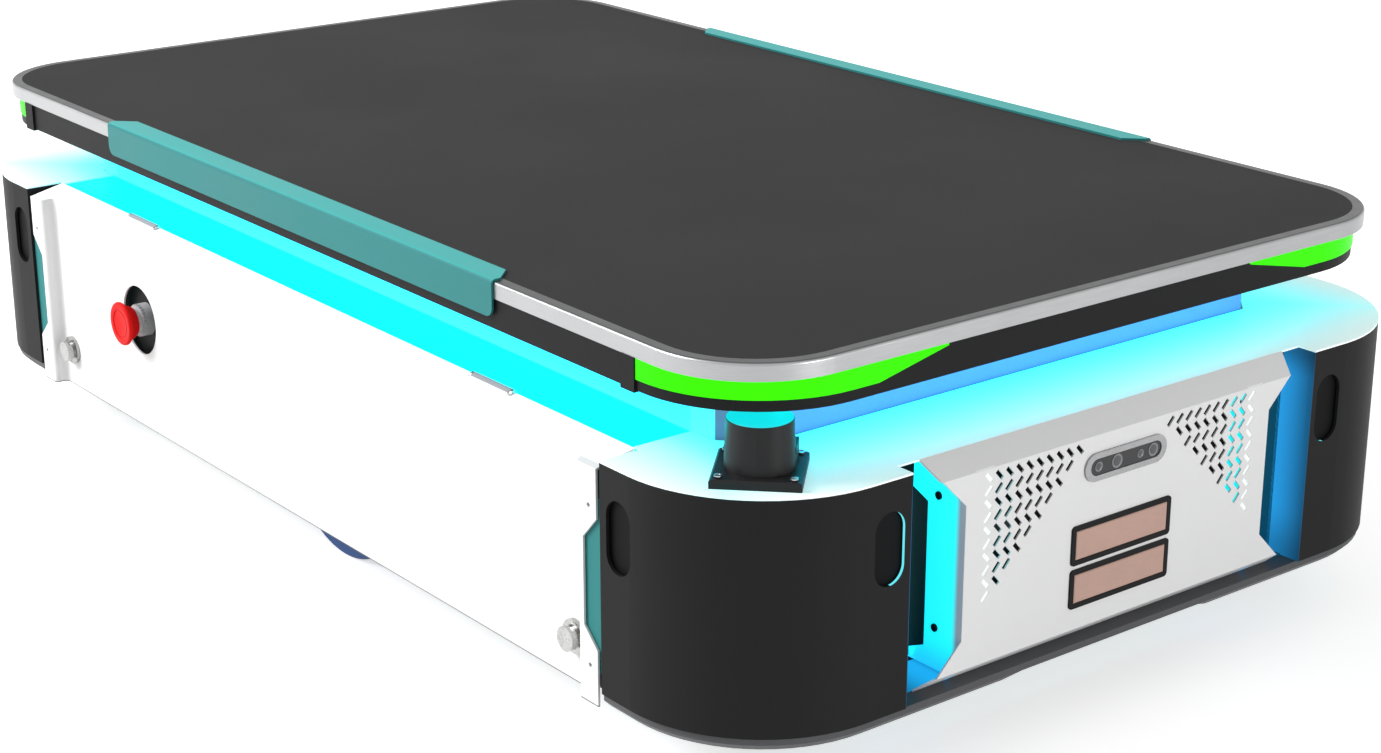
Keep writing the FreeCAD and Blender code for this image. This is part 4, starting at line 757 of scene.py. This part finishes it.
tape = {
    "outside": 0.020,
    "width": 0.010,
    "thickness": 0.002,
    "clear": 0.0002,
    "share": 0.94,
    "colour": (0.003, 1.0, 1.0),
    "power": 9.0,
}
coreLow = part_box("deck_frame")[0]
tapeGlow = surface("tapeGlow", {"colour": (0.02, 0.3, 0.32), "rough": 0.4, "grain": 500,
                                "spread": 0.05, "bump": 0.05, "glow": tape["colour"],
                                "power": tape["power"]})


def tapeBars(shape):
    top = coreLow.z - tape["clear"]
    reach = skirtHigh.y * tape["share"]
    low = top - tape["thickness"]
    for sx in (1, -1):
        x = sx * (skirtHigh.x + tape["outside"])
        block(shape, (x - tape["width"] / 2, -reach, low),
              (x + tape["width"] / 2, reach, top))


meshObject("ledTape", tapeBars, tapeGlow, "deck", False)
print("led tape done")


# floor, world and lamps

setting = {
    "floorSize": 30.0,
    "floorColour": (0.82, 0.82, 0.82),
    "floorLift": 0.65,
    "world": 0.42,
    "aim": (0, 0, 0.2),
    "floorGrain": 3.0,
    "floorShade": 0.98,
}


# 1 for rays that show the background: from the camera, in reflections and through glass
def seenRays(tree):
    path = addNode(tree, "ShaderNodeLightPath")
    return compute(tree, "MAXIMUM", path.outputs["Is Camera Ray"],
                   compute(tree, "MAXIMUM", path.outputs["Is Glossy Ray"],
                           path.outputs["Is Transmission Ray"]))


def floorMaterial():
    material = bpy.data.materials.new("floorPale")
    material.use_nodes = True
    tree = material.node_tree
    tree.nodes.clear()
    output = addNode(tree, "ShaderNodeOutputMaterial")
    seen = seenRays(tree)
    diffuse = addNode(tree, "ShaderNodeBsdfDiffuse")
    coords = addNode(tree, "ShaderNodeTexCoord").outputs["Object"]
    patches = noise(tree, coords, setting["floorGrain"])
    colour = blendColours(tree, remap(tree, patches, *wear["levels"]),
                          scaled(setting["floorColour"], setting["floorShade"]),
                          setting["floorColour"])
    tree.links.new(colour, diffuse.inputs["Color"])
    lit = addNode(tree, "ShaderNodeEmission")
    lit.inputs["Color"].default_value = (1, 1, 1, 1)
    tree.links.new(compute(tree, "MULTIPLY", seen, setting["floorLift"]),
                   lit.inputs["Strength"])
    both = addNode(tree, "ShaderNodeAddShader")
    tree.links.new(diffuse.outputs[0], both.inputs[0])
    tree.links.new(lit.outputs[0], both.inputs[1])
    tree.links.new(both.outputs[0], output.inputs["Surface"])
    return material


def floorPlane(shape):
    half = setting["floorSize"] / 2
    shape.faces.new([shape.verts.new((x, y, 0.0)) for x, y in
                     ((-half, -half), (half, -half), (half, half), (-half, half))])


floor = meshObject("floor", floorPlane, floorMaterial(), None, False)

world = bpy.data.worlds.new("paleWorld")
scene.world = world
world.use_nodes = True
tree = world.node_tree
background = tree.nodes["Background"]
background.inputs["Color"].default_value = (1, 1, 1, 1)
tree.links.new(remap(tree, seenRays(tree), 0.0, 1.0, setting["world"], 1.0),
               background.inputs["Strength"])

lamps = {
    "keyLamp": {"at": (-2.6, -3.9, 3.5), "size": 2.6, "power": 375.0},
    "frontLamp": {"at": (4.6, 0.9, 0.45), "size": 1.4, "power": 80.0},
}
for name, lamp in lamps.items():
    data = bpy.data.lights.new(name, "AREA")
    data.shape = "SQUARE"
    data.size = lamp["size"]
    data.energy = lamp["power"]
    light = bpy.data.objects.new(name, data)
    light.location = lamp["at"]
    aim = Vector(setting["aim"]) - Vector(lamp["at"])
    light.rotation_euler = aim.to_track_quat("-Z", "Y").to_euler()
    scene.collection.objects.link(light)
print("stage done")
